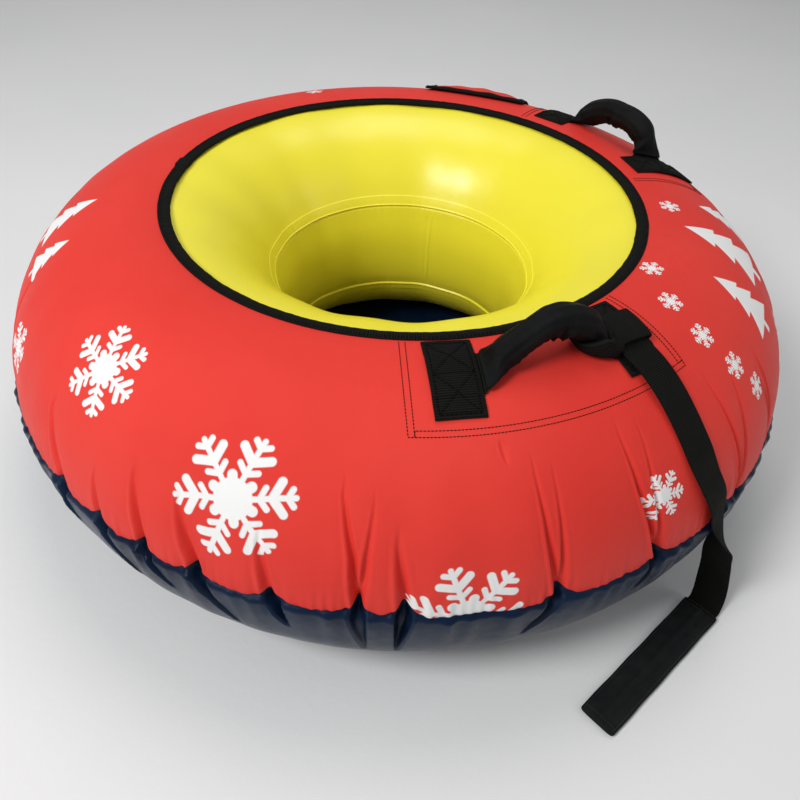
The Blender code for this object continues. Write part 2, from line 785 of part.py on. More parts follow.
class Arch:
    """The middle line of a handle, which stands upright from one foot to the other."""

    def __init__(self, radius, patches, foot_shift, rise):
        self.rise = rise
        first, second = patches
        start_centre, start_along, start_across = patch_frame(radius, *first)
        end_centre, end_along, end_across = patch_frame(radius, *second)
        reach = PATCH_WIDTH / 2 + STRAP_EXIT
        self.start = start_centre + start_across * reach - start_along * foot_shift
        self.end = end_centre - end_across * reach - end_along * foot_shift
        self.start_across = start_across
        self.end_across = end_across
        self.along = (self.end - self.start).normalized()
        self.up = Vector((0, 0, 1))
        self.side = self.along.cross(self.up)
        lift = 2 * TOUCH_GAP + WEBBING_WALL / 2
        self.foot = on_cover(self.start.x, self.start.y, lift)
        self.far_foot = on_cover(self.end.x, self.end.y, lift)
        self.lengths = self.path_lengths()

    def at_share(self, share):
        """Point at a share of the span."""
        rise = self.rise * (1 - abs(2 * share - 1) ** ARCH_POWER)
        return self.foot.lerp(self.far_foot, share) + self.up * rise

    def path_lengths(self):
        shares = np.linspace(0, 1, 401)
        points = np.array([self.at_share(share) for share in shares])
        steps = np.linalg.norm(np.diff(points, axis=0), axis=1)
        return shares, np.concatenate([[0], np.cumsum(steps)])

    @property
    def length(self):
        return float(self.lengths[1][-1])

    def at(self, distance):
        """(point, side, up) at a distance along the middle line. The side turns with the patches at the feet."""
        shares, lengths = self.lengths
        share = float(np.interp(distance, lengths, shares))
        step_share = 0.002
        before = self.at_share(max(share - step_share, 0))
        after = self.at_share(min(share + step_share, 1))
        tangent = (after - before).normalized()
        near_start = distance < self.length / 2
        across = self.start_across if near_start else self.end_across
        square = cover_normal(self.foot if near_start else self.far_foot)
        foot_side = square.cross(across.cross(square)).cross(square)
        away = min(distance, self.length - distance)
        side = foot_side.lerp(self.side, ease(away / (CUFF_START + CUFF_LENGTH))).normalized()
        return self.at_share(share), side, side.cross(tangent).normalized()

    def ring(self, distance, half_width, half_height, sides=GRIP_SIDES):
        """Oval ring of points square to the middle line."""
        point, side, up = self.at(distance)
        turns = [2 * math.pi * step / sides for step in range(sides)]
        return [point + side * half_width * math.cos(turn) + up * half_height * math.sin(turn) for turn in turns]


def cuff_distances():
    """Distances of a cuff's rings from the foot."""
    return [CUFF_START + (CUFF_LENGTH - TOUCH_GAP) * step / CUFF_STEPS for step in range(CUFF_STEPS + 1)]


def cuff_half_sizes(distance):
    """Half width and half height of a flattened sleeve end, straight between its rings."""
    places = cuff_distances()
    eased = [ease((place - CUFF_START) / CUFF_LENGTH) for place in places]
    share = float(np.interp(distance, places, eased))
    half_width = CUFF_HALF_WIDTH + (SLEEVE_END_RADIUS - CUFF_HALF_WIDTH) * share
    half_height = CUFF_HALF_HEIGHT + (SLEEVE_END_RADIUS - CUFF_HALF_HEIGHT) * share
    return half_width, half_height


def sleeve_half_size(distance, arch):
    """Radius of the sleeve, which narrows towards both ends."""
    start = CUFF_START + CUFF_LENGTH
    nearest = min(distance - start, arch.length - start - distance)
    share = min(max(nearest / SLEEVE_TAPER, 0), 1)
    return SLEEVE_END_RADIUS + (SLEEVE_RADIUS - SLEEVE_END_RADIUS) * math.sin(share * math.pi / 2)


def make_cuff(name, arch, from_end, material):
    rings = []
    for distance in cuff_distances():
        place = arch.length - distance if from_end else distance
        rings.append(arch.ring(place, *cuff_half_sizes(distance)))
    cuff = loft(name, rings, material)
    add_wall(cuff, SLEEVE_WALL, -1)


def sleeve_distances(arch, setback):
    """Distances of a grip's rings from the foot, closer together towards both ends."""
    start = CUFF_START + CUFF_LENGTH + setback
    end = arch.length - start
    shares = [step / GRIP_STEPS for step in range(GRIP_STEPS + 1)]
    eased = [(share + 0.5 - 0.5 * math.cos(math.pi * share)) / 2 for share in shares]
    return [start + (end - start) * share for share in eased]


def make_sleeve(name, arch, material):
    distances = sleeve_distances(arch, TOUCH_GAP)
    rings = [arch.ring(place, *[sleeve_half_size(place, arch)] * 2) for place in distances]
    sleeve = loft(name, rings, material)
    add_wall(sleeve, SLEEVE_WALL, -1)


def make_foam_core(name, arch, material):
    """Foam tube in the sleeve, slotted for the folded strap."""
    inset = SLEEVE_WALL + FOAM_CLEARANCE
    distances = sleeve_distances(arch, FOAM_END_SETBACK)
    outer = [arch.ring(place, *[sleeve_half_size(place, arch) - inset] * 2) for place in distances]
    inner = []
    for place in reversed(distances):
        room = sleeve_half_size(place, arch) - inset - 2 * FOAM_CLEARANCE
        inner.append(arch.ring(place, min(CORE_SLOT_HALF_WIDTH, room), CORE_SLOT_HALF_HEIGHT))
    loft(name, outer + inner, material, closed=True)


def strap_half_width(distance, arch):
    """The strap is flat at its feet and folded lengthwise inside the grip."""
    nearest = min(distance, arch.length - distance)
    eased = ease(nearest / (CUFF_START + CUFF_LENGTH))
    folded = min(FOLDED_STRAP_WIDTH, 2 * (SLEEVE_END_RADIUS - SLEEVE_WALL - 4 * FOAM_CLEARANCE))
    return (STRAP_WIDTH + (folded - STRAP_WIDTH) * eased ** 0.5) / 2


def tail_row(arch, at_end, share):
    """Row of the strap's tail on the cover, share 0 at the foot and 1 at the tail's end."""
    foot = arch.end if at_end else arch.start
    across = arch.end_across if at_end else arch.start_across
    away = across if at_end else -across
    middle = foot + away * TAIL_LENGTH * share
    side = Vector((across.y, -across.x, 0))
    halves = [STRAP_WIDTH * (column / STRAP_COLUMNS - 0.5) for column in range(STRAP_COLUMNS + 1)]
    return [on_cover(*(middle + side * half).to_2d(), TOUCH_GAP) for half in halves]


def arch_row(arch, distance):
    point, side, up = arch.at(distance)
    half_width = strap_half_width(distance, arch)
    middle = point - up * WEBBING_WALL / 2
    shares = [2 * column / STRAP_COLUMNS - 1 for column in range(STRAP_COLUMNS + 1)]
    return [middle + side * half_width * share for share in shares]


def make_strap(name, arch, material):
    """One webbing strap, from its tail under one patch to its tail under the other."""
    rows = [tail_row(arch, False, share) for share in (1, 0.5, 0)]
    for step in range(STRAP_STEPS + 1):
        rows.append(arch_row(arch, STRAP_LEAD + (arch.length - 2 * STRAP_LEAD) * step / STRAP_STEPS))
    rows += [tail_row(arch, True, share) for share in (0, 0.5, 1)]
    sheet(name, rows, WEBBING_WALL, material, Vector((0, 0, 1)))


def make_handle(prefix, radius, patches, foot_shift, rise):
    arch = Arch(radius, patches, foot_shift, rise)
    make_patch(prefix + "_patch_start", radius, *patches[0])
    make_patch(prefix + "_patch_end", radius, *patches[1])
    make_strap(prefix + "_strap", arch, new_material("Black strap " + prefix, BLACK, 0.8))
    fabric = new_material("Black sleeve fabric " + prefix, SLEEVE_BLACK, 0.6)
    make_sleeve(prefix + "_sleeve", arch, fabric)
    make_cuff(prefix + "_sleeve_end_start", arch, False, fabric)
    make_cuff(prefix + "_sleeve_end_far", arch, True, fabric)
    make_foam_core(prefix + "_foam_core", arch, new_material("Grip foam " + prefix, FOAM_GREY, 0.9))
    print(prefix, "axis", [round(v, 5) for v in arch.foot], [round(v, 5) for v in arch.far_foot])
    return arch


# Leash


def make_hitch(arch):
    """Webbing folded back over the right patch, and its turn round the handle's foot."""
    centre, along, across = patch_frame(FRONT_PATCH_RADIUS, *FRONT_PATCHES[1])
    lower = patch_top() + TOUCH_GAP
    fold_top = lower + 2 * HITCH_FOLD_RADIUS
    path = [(-HITCH_LOWER_START, lower), (0, lower), (HITCH_FOLD_REACH - HITCH_FOLD_RADIUS, lower)]
    for turn in (-45, 0, 45, 90):
        reach = HITCH_FOLD_REACH - HITCH_FOLD_RADIUS + HITCH_FOLD_RADIUS * math.cos(math.radians(turn))
        lift = lower + HITCH_FOLD_RADIUS * (1 + math.sin(math.radians(turn)))
        path.append((reach, lift))
    for share in (0.33, 0.66, 1):
        reach = (HITCH_FOLD_REACH - HITCH_FOLD_RADIUS) * (1 - share) - HITCH_UPPER_END * share
        path.append((reach, fold_top + (HITCH_TOP_LIFT - fold_top) * share ** 1.5))
    rows = []
    for reach, lift in path:
        middle = centre + across * reach
        halves = [HITCH_WIDTH * (column / 3 - 0.5) for column in range(4)]
        rows.append([on_cover(*(middle + along * half).to_2d(), lift) for half in halves])
    material = new_material("Black leash webbing", BLACK, 0.75)
    sheet("leash_hitch", rows, HITCH_WALL, material, Vector((0, 0, -1)), offset=-1)
    rings = []
    between = [place for place in cuff_distances() if WRAP_START < place < WRAP_END]
    for distance in (WRAP_START, *between, WRAP_END):
        half_width, half_height = cuff_half_sizes(distance)
        grow = 2 * TOUCH_GAP
        rings.append(arch.ring(arch.length - distance, half_width + grow, half_height + grow))
    wrap = loft("leash_wrap", rings, new_material("Black wrap webbing", BLACK, 0.75))
    add_wall(wrap, HITCH_WALL, 1)


def smooth_through(points, count):
    """Points at even distances on a smooth curve through the given ones, of any dimension."""
    points = np.array(points, float)
    padded = np.vstack([2 * points[0] - points[1], points, 2 * points[-1] - points[-2]])
    fine = []
    for index in range(1, len(padded) - 2):
        a, b, c, d = padded[index - 1 : index + 3]
        for share in np.linspace(0, 1, 24, endpoint=False):
            squared = share * share
            cubed = squared * share
            first = (c - a) * share
            second = (2 * a - 5 * b + 4 * c - d) * squared
            third = (3 * b - a - 3 * c + d) * cubed
            fine.append((2 * b + first + second + third) / 2)
    fine.append(points[-1])
    fine = np.array(fine)
    lengths = np.concatenate([[0], np.cumsum(np.linalg.norm(np.diff(fine[:, :3], axis=0), axis=1))])
    wanted = np.linspace(0, lengths[-1], count)
    return np.stack([np.interp(wanted, lengths, fine[:, axis]) for axis in range(points.shape[1])], 1)


def leash_route():
    """Route points with the way the strap's outer face looks at each."""
    route = []
    for x, y, lift in LEASH_LAID:
        point = on_cover(x, y, lift)
        route.append((*point, *cover_normal(point)))
    for x, y, z, looks in LEASH_HANGING:
        route.append((x, y, z, *Vector(looks).normalized()))
    heading = direction(GRIP_HEADING)
    for share in (0, 0.33, 0.66, 1):
        place = Vector((*GRIP_START, GRIP_HEIGHT / 2)) + heading * LEASH_IN_GRIP * share
        route.append((*place, 0, 0, -1))
    return route


def make_leash_strap():
    samples = smooth_through(leash_route(), LEASH_ROWS)
    rows = []
    for index, sample in enumerate(samples):
        before = samples[max(index - 1, 0)][:3]
        after = samples[min(index + 1, len(samples) - 1)][:3]
        tangent = Vector(after - before).normalized()
        side = tangent.cross(Vector(sample[3:])).normalized()
        looks = side.cross(tangent)
        middle = Vector(sample[:3]) - looks * LEASH_WALL / 2
        rows.append([middle + side * LEASH_WIDTH * share for share in (-0.5, 0, 0.5)])
    sheet("leash_strap", rows, LEASH_WALL, new_material("Black leash strap", BLACK, 0.75), Vector((0, 0, 1)))
    length = sum((Vector(b[:3]) - Vector(a[:3])).length for a, b in zip(samples, samples[1:]))
    print("leash length", round(length, 4))


def make_leash_grip():
    """Padded sleeve on the end of the leash, lying on the floor."""
    shaping = bmesh.new()
    bmesh.ops.create_cube(shaping, size=1)
    scale = Matrix.Diagonal((GRIP_LENGTH, GRIP_WIDTH, GRIP_HEIGHT, 1))
    bmesh.ops.transform(shaping, matrix=scale, verts=shaping.verts)
    mesh = bpy.data.meshes.new("leash_grip")
    shaping.to_mesh(mesh)
    shaping.free()
    grip = new_object("leash_grip", mesh, new_material("Padded grip fabric", SLEEVE_BLACK, 0.55))
    heading = direction(GRIP_HEADING)
    middle = Vector((*GRIP_START, GRIP_HEIGHT / 2)) + heading * GRIP_LENGTH / 2
    turn = Matrix.Rotation(math.radians(GRIP_HEADING), 4, "Z")
    grip.matrix_world = Matrix.Translation(middle) @ turn
    bevel = grip.modifiers.new("Rounding", "BEVEL")
    bevel.width = GRIP_ROUNDING
    bevel.segments = 3
    slot_width = LEASH_WIDTH + 2 * GRIP_SLOT_CLEARANCE
    slot_height = LEASH_WALL + 2 * GRIP_SLOT_CLEARANCE
    shaping = bmesh.new()
    bmesh.ops.create_cube(shaping, size=1)
    scale = Matrix.Diagonal((GRIP_SLOT_DEPTH + CUT_OVERRUN, slot_width, slot_height, 1))
    bmesh.ops.transform(shaping, matrix=scale, verts=shaping.verts)
    mesh = bpy.data.meshes.new("cut_grip_slot")
    shaping.to_mesh(mesh)
    shaping.free()
    slot = as_cutter(new_object("cut_grip_slot", mesh))
    reach = (GRIP_SLOT_DEPTH - CUT_OVERRUN) / 2
    slot.matrix_world = Matrix.Translation(Vector((*GRIP_START, GRIP_HEIGHT / 2)) + heading * reach) @ turn
    cut(grip, slot)
    shade_smooth(grip)


# Access flap


def flap_height(reach, aside=0):
    """Height of the flap's middle surface, level along its hinge and bent like the cover at its free edge."""
    share = (FLAP_HINGE_RADIUS - reach) / (FLAP_HINGE_RADIUS - FLAP_NEAR_RADIUS)
    lift = FLAP_HINGE_LIFT + (FLAP_EDGE_LIFT - FLAP_HINGE_LIFT) * share
    dome = FLAP_DOME * math.sin(math.pi * share) * (1 - (aside / FLAP_HALF_WIDTH) ** 2)
    bend = cover_height(reach) - cover_height(math.hypot(reach, aside))
    return cover_height(reach) + lift + dome - bend * share * (2 - share)


def flap_sheet(name, half_width, near, far, wall, material=None):
    """Sheet between two distances from the tube's axis, with its wall split on both sides."""
    out = direction(FLAP_ANGLE)
    side = Vector((-out.y, out.x, 0))
    rows = []
    length = FLAP_HINGE_RADIUS - FLAP_NEAR_RADIUS
    shared_reaches = [FLAP_NEAR_RADIUS + length * row / FLAP_ROWS for row in range(FLAP_ROWS + 1)]
    shared_asides = [FLAP_HALF_WIDTH * (2 * column / FLAP_COLUMNS - 1) for column in range(FLAP_COLUMNS + 1)]
    asides = [-half_width, *[aside for aside in shared_asides if abs(aside) < half_width], half_width]
    for reach in (near, *[reach for reach in shared_reaches if near < reach < far], far):
        rows.append([out * reach + side * aside + Vector((0, 0, flap_height(reach, aside))) for aside in asides])
    return sheet(name, rows, wall, material, Vector((0, 0, 1)), offset=0)


def make_flap():
    fabric = new_material("Red flap fabric", RED, 0.5)
    edge = BINDING_WALL + TOUCH_GAP
    panel_half = FLAP_HALF_WIDTH - edge
    panel_near = FLAP_NEAR_RADIUS + edge
    flap_sheet("access_flap", panel_half, panel_near, FLAP_HINGE_RADIUS, FLAP_WALL, fabric)
    black = new_material("Black flap binding", BLACK, 0.75)
    wall = FLAP_WALL + 2 * (BINDING_WALL + TOUCH_GAP)
    far = FLAP_HINGE_RADIUS - wall
    binding = flap_sheet("access_flap_binding", FLAP_HALF_WIDTH, FLAP_NEAR_RADIUS, far, wall, black)
    inner_half = FLAP_HALF_WIDTH - FLAP_BINDING_WIDTH
    inner_near = FLAP_NEAR_RADIUS + FLAP_BINDING_WIDTH
    inside = flap_sheet("cut_flap_inside", inner_half, inner_near, far + CUT_OVERRUN, wall + 2 * CUT_OVERRUN)
    cut(binding, as_cutter(inside))
    slot = flap_sheet(
        "cut_flap_slot", panel_half + TOUCH_GAP, panel_near - TOUCH_GAP, far + CUT_OVERRUN,
        FLAP_WALL + 2 * TOUCH_GAP,
    )
    cut(binding, as_cutter(slot))
    out = direction(FLAP_ANGLE)
    hinge = out * FLAP_HINGE_RADIUS + Vector((0, 0, flap_height(FLAP_HINGE_RADIUS)))
    print("flap hinge", [round(v, 5) for v in hinge])


def main():
    make_top_cover()
    make_bottom_cover()
    make_opening_binding()
    make_inner_tube()
    make_liner("front_reinforcement", FRONT_LINER_START)
    make_liner("rear_reinforcement", REAR_LINER_START)
    front = make_handle("front_handle", FRONT_PATCH_RADIUS, FRONT_PATCHES, FRONT_FOOT_SHIFT, FRONT_HANDLE_RISE)
    make_handle("rear_handle", REAR_PATCH_RADIUS, REAR_PATCHES, REAR_FOOT_SHIFT, REAR_HANDLE_RISE)
    make_hitch(front)
    make_leash_strap()
    make_leash_grip()
    make_flap()
    make_valve()
    frame = valve_frame()
    print("valve seat", [round(v, 5) for v in frame.translation], [round(v, 5) for v in frame.col[2]])


clear_scene()
PARTS = new_collection("Snow tube")
CUTTERS = new_collection("Cutters")
main()
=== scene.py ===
"""Looks of the snow tube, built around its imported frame. Metres, +Z up, the front faces -Y."""

import json
import math

import bmesh
import bpy
import numpy as np
from mathutils import Matrix, Vector

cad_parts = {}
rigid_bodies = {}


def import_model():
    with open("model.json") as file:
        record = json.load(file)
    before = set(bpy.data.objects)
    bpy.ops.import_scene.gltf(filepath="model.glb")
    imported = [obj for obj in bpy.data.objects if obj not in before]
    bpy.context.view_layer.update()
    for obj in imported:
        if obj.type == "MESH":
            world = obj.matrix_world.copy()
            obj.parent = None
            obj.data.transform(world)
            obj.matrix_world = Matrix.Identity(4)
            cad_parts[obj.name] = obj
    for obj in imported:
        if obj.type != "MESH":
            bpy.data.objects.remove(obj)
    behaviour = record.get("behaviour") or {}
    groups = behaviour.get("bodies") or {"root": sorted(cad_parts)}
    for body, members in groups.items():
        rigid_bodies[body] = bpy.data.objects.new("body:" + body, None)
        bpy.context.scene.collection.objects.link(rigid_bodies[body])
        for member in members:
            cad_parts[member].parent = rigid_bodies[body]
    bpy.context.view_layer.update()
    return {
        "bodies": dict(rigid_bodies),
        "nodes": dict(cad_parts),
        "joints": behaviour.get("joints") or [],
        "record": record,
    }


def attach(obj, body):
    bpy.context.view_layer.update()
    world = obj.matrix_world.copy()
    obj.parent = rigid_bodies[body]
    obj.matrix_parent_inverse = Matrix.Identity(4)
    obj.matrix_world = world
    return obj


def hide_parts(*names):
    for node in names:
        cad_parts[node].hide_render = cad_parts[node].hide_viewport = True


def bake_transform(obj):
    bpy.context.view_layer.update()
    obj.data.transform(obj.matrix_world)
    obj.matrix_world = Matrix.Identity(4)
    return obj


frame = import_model()

# Section of the tube on the outer face of its cover, as in the solids
OUTER_RADIUS = 0.500
SECTION_RADIUS = 0.315
HOLE_RADIUS = 0.159
CROWN_HEIGHT = 0.347
WAIST_HEIGHT = 0.170
UPPER_POWER = 2.0
LOWER_POWER = 2.3
TOUCH_GAP = 0.0003
COVER_WALL = 0.0012
TUBE_INSET = 0.0030
OPENING_RADIUS = 0.2945
SEAM_HEIGHT = 0.183
SEAM_REACH = 0.2919
BINDING_WALL = 0.0012
WEBBING_WALL = 0.0016
PATCH_WALL = 0.0018
UPPER_WELD_HEIGHT = 0.2365
LOWER_WELD_HEIGHT = 0.096
FULL_TURN = 2 * math.pi

# Folds that run up from the gathered seam: (angle, distance from the opening) points, depth, half width
FRONT_FOLDS = (
    (((-137.4, 0.2150), (-133.6, 0.2865)), 0.0080, 0.0075),
    (((-126.6, 0.2500), (-125.9, 0.2976)), 0.0040, 0.0060),
    (((-120.6, 0.2150), (-118.9, 0.2832)), 0.0075, 0.0070),
    (((-114.0, 0.2200), (-111.6, 0.2875)), 0.0085, 0.0085),
    (((-104.0, 0.2300), (-102.5, 0.3017)), 0.0060, 0.0070),
    (((-95.2, 0.1720), (-93.7, 0.2309), (-93.1, 0.2918)), 0.0085, 0.0060),
    (((-91.7, 0.1850), (-92.2, 0.2297), (-92.8, 0.2918)), 0.0055, 0.0055),
    (((-88.9, 0.2180), (-88.0, 0.2835)), 0.0085, 0.0080),
    (((-73.2, 0.1600), (-72.4, 0.2219), (-70.9, 0.2954)), 0.0070, 0.0055),
    (((-70.9, 0.1700), (-70.7, 0.2247), (-70.5, 0.2954)), 0.0050, 0.0050),
    (((-60.9, 0.1500), (-60.2, 0.2019), (-57.4, 0.2952)), 0.0085, 0.0060),
    (((-57.9, 0.1560), (-58.2, 0.1977), (-57.0, 0.2952)), 0.0055, 0.0050),
    (((-43.3, 0.1480), (-42.0, 0.2255), (-41.4, 0.2920)), 0.0070, 0.0055),
    (((-38.2, 0.1620), (-39.6, 0.2119), (-40.9, 0.2920)), 0.0060, 0.0055),
    (((-47.0, 0.2350), (-46.0, 0.2920)), 0.0060, 0.0070),
    (((-76.8, 0.1240), (-76.3, 0.1480)), 0.0012, 0.0040),
)
FRONT_NOTCHES = (-134.0, -125.9, -118.9, -111.6, -102.5, -93.1, -88.0, -70.7, -57.2, -44.5)


# Section and cover, worked out for whole arrays of places


def section_point(angle, inset=0.0, foot_inset=0.0):
    """(radius, height) on the section: 0 degrees is the outermost point, 90 the crown, 270 the foot."""
    angle = np.radians(np.asarray(angle, float))
    across, up = np.cos(angle), np.sin(angle)
    power = np.where(up > 0, 2 / UPPER_POWER, 2 / LOWER_POWER)
    outside = OUTER_RADIUS - SECTION_RADIUS - inset
    inside = SECTION_RADIUS - HOLE_RADIUS + TUBE_INSET - inset
    half_width = np.where(across > 0, outside, inside)
    half_height = np.where(up > 0, CROWN_HEIGHT - WAIST_HEIGHT - inset, WAIST_HEIGHT - foot_inset)
    radius = SECTION_RADIUS + half_width * np.sign(across) * np.abs(across) ** power
    return radius, WAIST_HEIGHT + half_height * np.sign(up) * np.abs(up) ** power


def cover_height(radius):
    """Height of the cover's outer face over a radius, above its widest row."""
    inside = SECTION_RADIUS - HOLE_RADIUS + TUBE_INSET
    half_width = np.where(np.asarray(radius) > SECTION_RADIUS, OUTER_RADIUS - SECTION_RADIUS, inside)
    share = np.minimum(np.abs(radius - SECTION_RADIUS) / half_width, 1.0)
    rise = CROWN_HEIGHT - WAIST_HEIGHT
    return WAIST_HEIGHT + rise * (1 - share ** UPPER_POWER) ** (1 / UPPER_POWER)


def on_cover(x, y, lift):
    """Points a lift off the cover, square to it."""
    x, y = np.asarray(x, float), np.asarray(y, float)
    radius = np.hypot(x, y)
    drop = cover_height(radius - COVER_WALL) - cover_height(radius + COVER_WALL)
    slope = np.arctan2(drop, 2 * COVER_WALL)
    spread = 1 + lift * np.sin(slope) / radius
    return np.stack([x * spread, y * spread, cover_height(radius) + lift * np.cos(slope)], -1)


def cover_normal(point):
    """Direction square to the unfolded cover at a point on it."""
    radius = math.hypot(point.x, point.y)
    outwards = (radius - SECTION_RADIUS) / (OUTER_RADIUS - SECTION_RADIUS) ** 2
    upwards = max(point.z - WAIST_HEIGHT, 0) / (CROWN_HEIGHT - WAIST_HEIGHT) ** 2
    radial = Vector((point.x, point.y, 0)).normalized()
    return (radial * outwards + Vector((0, 0, 1)) * upwards).normalized()


class Profile:
    """A line of (radius, height) points with the distance along it and its outward normal."""

    def __init__(self, radius, height):
        self.radius, self.height = np.asarray(radius, float), np.asarray(height, float)
        steps = np.hypot(np.diff(self.radius), np.diff(self.height))
        self.reach = np.concatenate([[0], np.cumsum(steps)])
        along_radius = np.gradient(self.radius, self.reach)
        along_height = np.gradient(self.height, self.reach)
        size = np.hypot(along_radius, along_height)
        self.out, self.up = -along_height / size, along_radius / size

    def at(self, reach):
        """Radius, height and the two parts of the normal at distances along the line."""
        parts = (self.radius, self.height, self.out, self.up)
        return [np.interp(reach, self.reach, part) for part in parts]


def ease(share):
    """From 0 to 1 without a corner at either end."""
    share = np.clip(share, 0, 1)
    return share * share * (3 - 2 * share)


def bell(away, width):
    """1 where away is 0, and falling off smoothly on both sides."""
    return np.exp(-((away / width) ** 2))


def round_points(theta, radius, height):
    """Points at an angle round the tube's axis, a radius and a height."""
    return np.stack([radius * np.cos(theta), radius * np.sin(theta), height], -1)


def ring_angles(columns):
    """Even angles round the tube, from its left side."""
    return np.linspace(-math.pi, math.pi, columns, endpoint=False)


def corner_grid(theta, reach):
    """Angles and distances for a grid's corners, with the left side once more at its end."""
    return np.meshgrid(np.concatenate([theta, [math.pi]]), reach)


def lengths_along(points):
    """Distance of each point of a line from its first one."""
    return np.concatenate([[0], np.cumsum(np.linalg.norm(np.diff(points, axis=0), axis=1))])


def ring_turns(sides):
    """Even turns round a ring of points."""
    return np.arange(sides) * FULL_TURN / sides


def unit(vectors):
    return vectors / np.linalg.norm(vectors, axis=-1, keepdims=True)


def upright(points):
    """A line's points, and normals that point straight up."""
    return points, np.repeat([[0.0, 0, 1]], len(points), 0)


def ripples(theta, reach, wavelength, slant, count, seed):
    """Even-tempered uneven waves round the tube, from -1 to 1, without a join."""
    random = np.random.default_rng(seed)
    total = np.zeros(np.broadcast(theta, reach).shape)
    for _ in range(count):
        turns = round(FULL_TURN * 0.45 / (wavelength * random.uniform(0.6, 1.6)))
        lean = random.uniform(-1, 1) * slant
        phase = random.uniform(0, FULL_TURN)
        total += np.cos(turns * theta + lean * reach + phase) * random.uniform(0.5, 1)
    return total / (0.9 * math.sqrt(count) * 1.2)


# The cover's folds and seam


def all_folds():
    """The photographed folds, and more of their kind on the sides that it doesn't show."""
    random = np.random.default_rng(11)
    folds = list(FRONT_FOLDS)
    notches = list(FRONT_NOTCHES)
    angle = -30.0
    while angle < 212.0:
        start = random.uniform(0.165, 0.245)
        lean = random.uniform(-2.2, 2.2)
        depth = random.uniform(0.0055, 0.0085)
        width = random.uniform(0.0055, 0.0080)
        folds.append((((angle + lean, start), (angle, 0.2920)), depth, width))
        if random.random() < 0.4:
            beside = angle + random.choice([-1, 1]) * random.uniform(1.8, 2.6)
            folds.append((((beside + lean, start + 0.015), (angle, 0.2920)), depth * 0.6, width * 0.85))
        notches.append(angle)
        angle += random.uniform(9.5, 14.5)
    return folds, notches


FOLDS, NOTCHES = all_folds()


def angle_gap(theta, degrees):
    """Signed angle from a place in degrees, in radians."""
    return (theta - np.radians(degrees) + math.pi) % FULL_TURN - math.pi


# Widths of folds and notches count at these radii. Folds that end before SHORT_FOLD_END are short creases.
FOLD_RADIUS = 0.46
FOLD_FADE = 0.024
SHORT_FOLD_END = 0.25
NOTCH_RADIUS = 0.49
NOTCH_HALF_WIDTH = 0.013


def fold_depth(theta, reach):
    """How far the folds draw the cover in, negative where a fold's lips stand out."""
    total = np.zeros(np.broadcast(theta, reach).shape)
    for points, depth, width in FOLDS:
        angles = [point[0] for point in points]
        reaches = [point[1] for point in points]
        start = reaches[0] - (FOLD_FADE if reaches[-1] > SHORT_FOLD_END else 0)
        middle = np.interp(reach, reaches, angles)
        away = angle_gap(theta, middle) * FOLD_RADIUS
        grow = ease((reach - start) / (SEAM_REACH - start + 0.004)) ** 0.75
        if reaches[-1] < SHORT_FOLD_END:
            grow = np.sin(math.pi * np.clip((reach - start) / (reaches[-1] - start), 0, 1))
        wide = width * (0.26 + 0.28 * grow)
        crease = bell(away, wide)
        valley = bell(away, 3.6 * wide)
        left_lip = bell(away + 1.8 * wide, 0.9 * wide)
        right_lip = bell(away - 2.0 * wide, 1.2 * wide)
        total += 1.2 * depth * grow * (0.80 * crease + 0.34 * valley - 0.30 * left_lip - 0.12 * right_lip)
    return total


def notch_weight(theta):
    """1 on the seam's notches and 0 between them."""
    total = np.zeros(np.shape(theta))
    for angle in NOTCHES:
        total = np.maximum(total, bell(angle_gap(theta, angle) * NOTCH_RADIUS, NOTCH_HALF_WIDTH))
    return total


def seam_drop(theta):
    """How far below its mean line the seam hangs."""
    return 0.0045 - 0.0115 * notch_weight(theta) + 0.0012 * ripples(theta, 0, 0.05, 0, 7, 5)


COVER = Profile(*section_point(np.linspace(97.5, -16, 900)))


def reach_at_radius(radius):
    """How far along the cover a radius is, down to the cover's widest row."""
    widest = int(np.argmax(COVER.radius))
    return np.interp(radius, COVER.radius[:widest + 1], COVER.reach[:widest + 1])


# From here on, distances along the cover count from its opening
COVER.reach = COVER.reach - reach_at_radius(OPENING_RADIUS)


def cover_point(theta, reach, lift=0.0):
    """Points on the folded cover at an angle and a distance from its opening."""
    shift = seam_drop(theta) * np.clip(reach / SEAM_REACH, 0, 1.2) ** 6
    radius, height, out, up = COVER.at(reach + shift)
    near_seam = bell(reach - SEAM_REACH, 0.022)
    fine = 0.0007 * ripples(theta, reach, 0.013, 22, 9, 3) * near_seam
    loose = 0.0009 * ripples(theta, reach, 0.090, 16, 10, 8) * ease((reach - 0.09) / 0.12)
    off = lift - fold_depth(theta, reach) + fine + loose - 0.0004
    return round_points(theta, radius + out * off, height + up * off)


# Meshes


def grid_mesh(points, around=False, flip=False, uvs=None, keep=None):
    """Mesh of a grid of points. around joins the last column to the first, keep says which faces stay."""
    rows, columns = points.shape[:2]
    last = columns if around else columns - 1
    row, column = np.meshgrid(np.arange(rows - 1), np.arange(last), indexing="ij")
    row, column = row.ravel(), column.ravel()
    beside = (column + 1) % columns
    corners = [
        (row, column, column), (row + 1, column, column),
        (row + 1, beside, column + 1), (row, beside, column + 1),
    ]
    if flip:
        corners.reverse()
    faces = np.stack([r * columns + c for r, c, _ in corners], 1)
    flat = points.reshape(-1, 3)
    chosen = np.ones(len(faces), bool)
    if keep is not None:
        chosen = keep(flat[faces].mean(1))
        faces = faces[chosen]
    mesh = bpy.data.meshes.new("mesh")
    mesh.from_pydata(flat.tolist(), [], faces.tolist())
    for layer_name, values in (uvs or {}).items():
        layer = mesh.uv_layers.new(name=layer_name)
        corner_values = np.stack([values[r, u] for r, _, u in corners], 1)[chosen]
        layer.data.foreach_set("uv", corner_values.reshape(-1).astype(np.float32))
    mesh.shade_smooth()
    mesh.update()
    return mesh


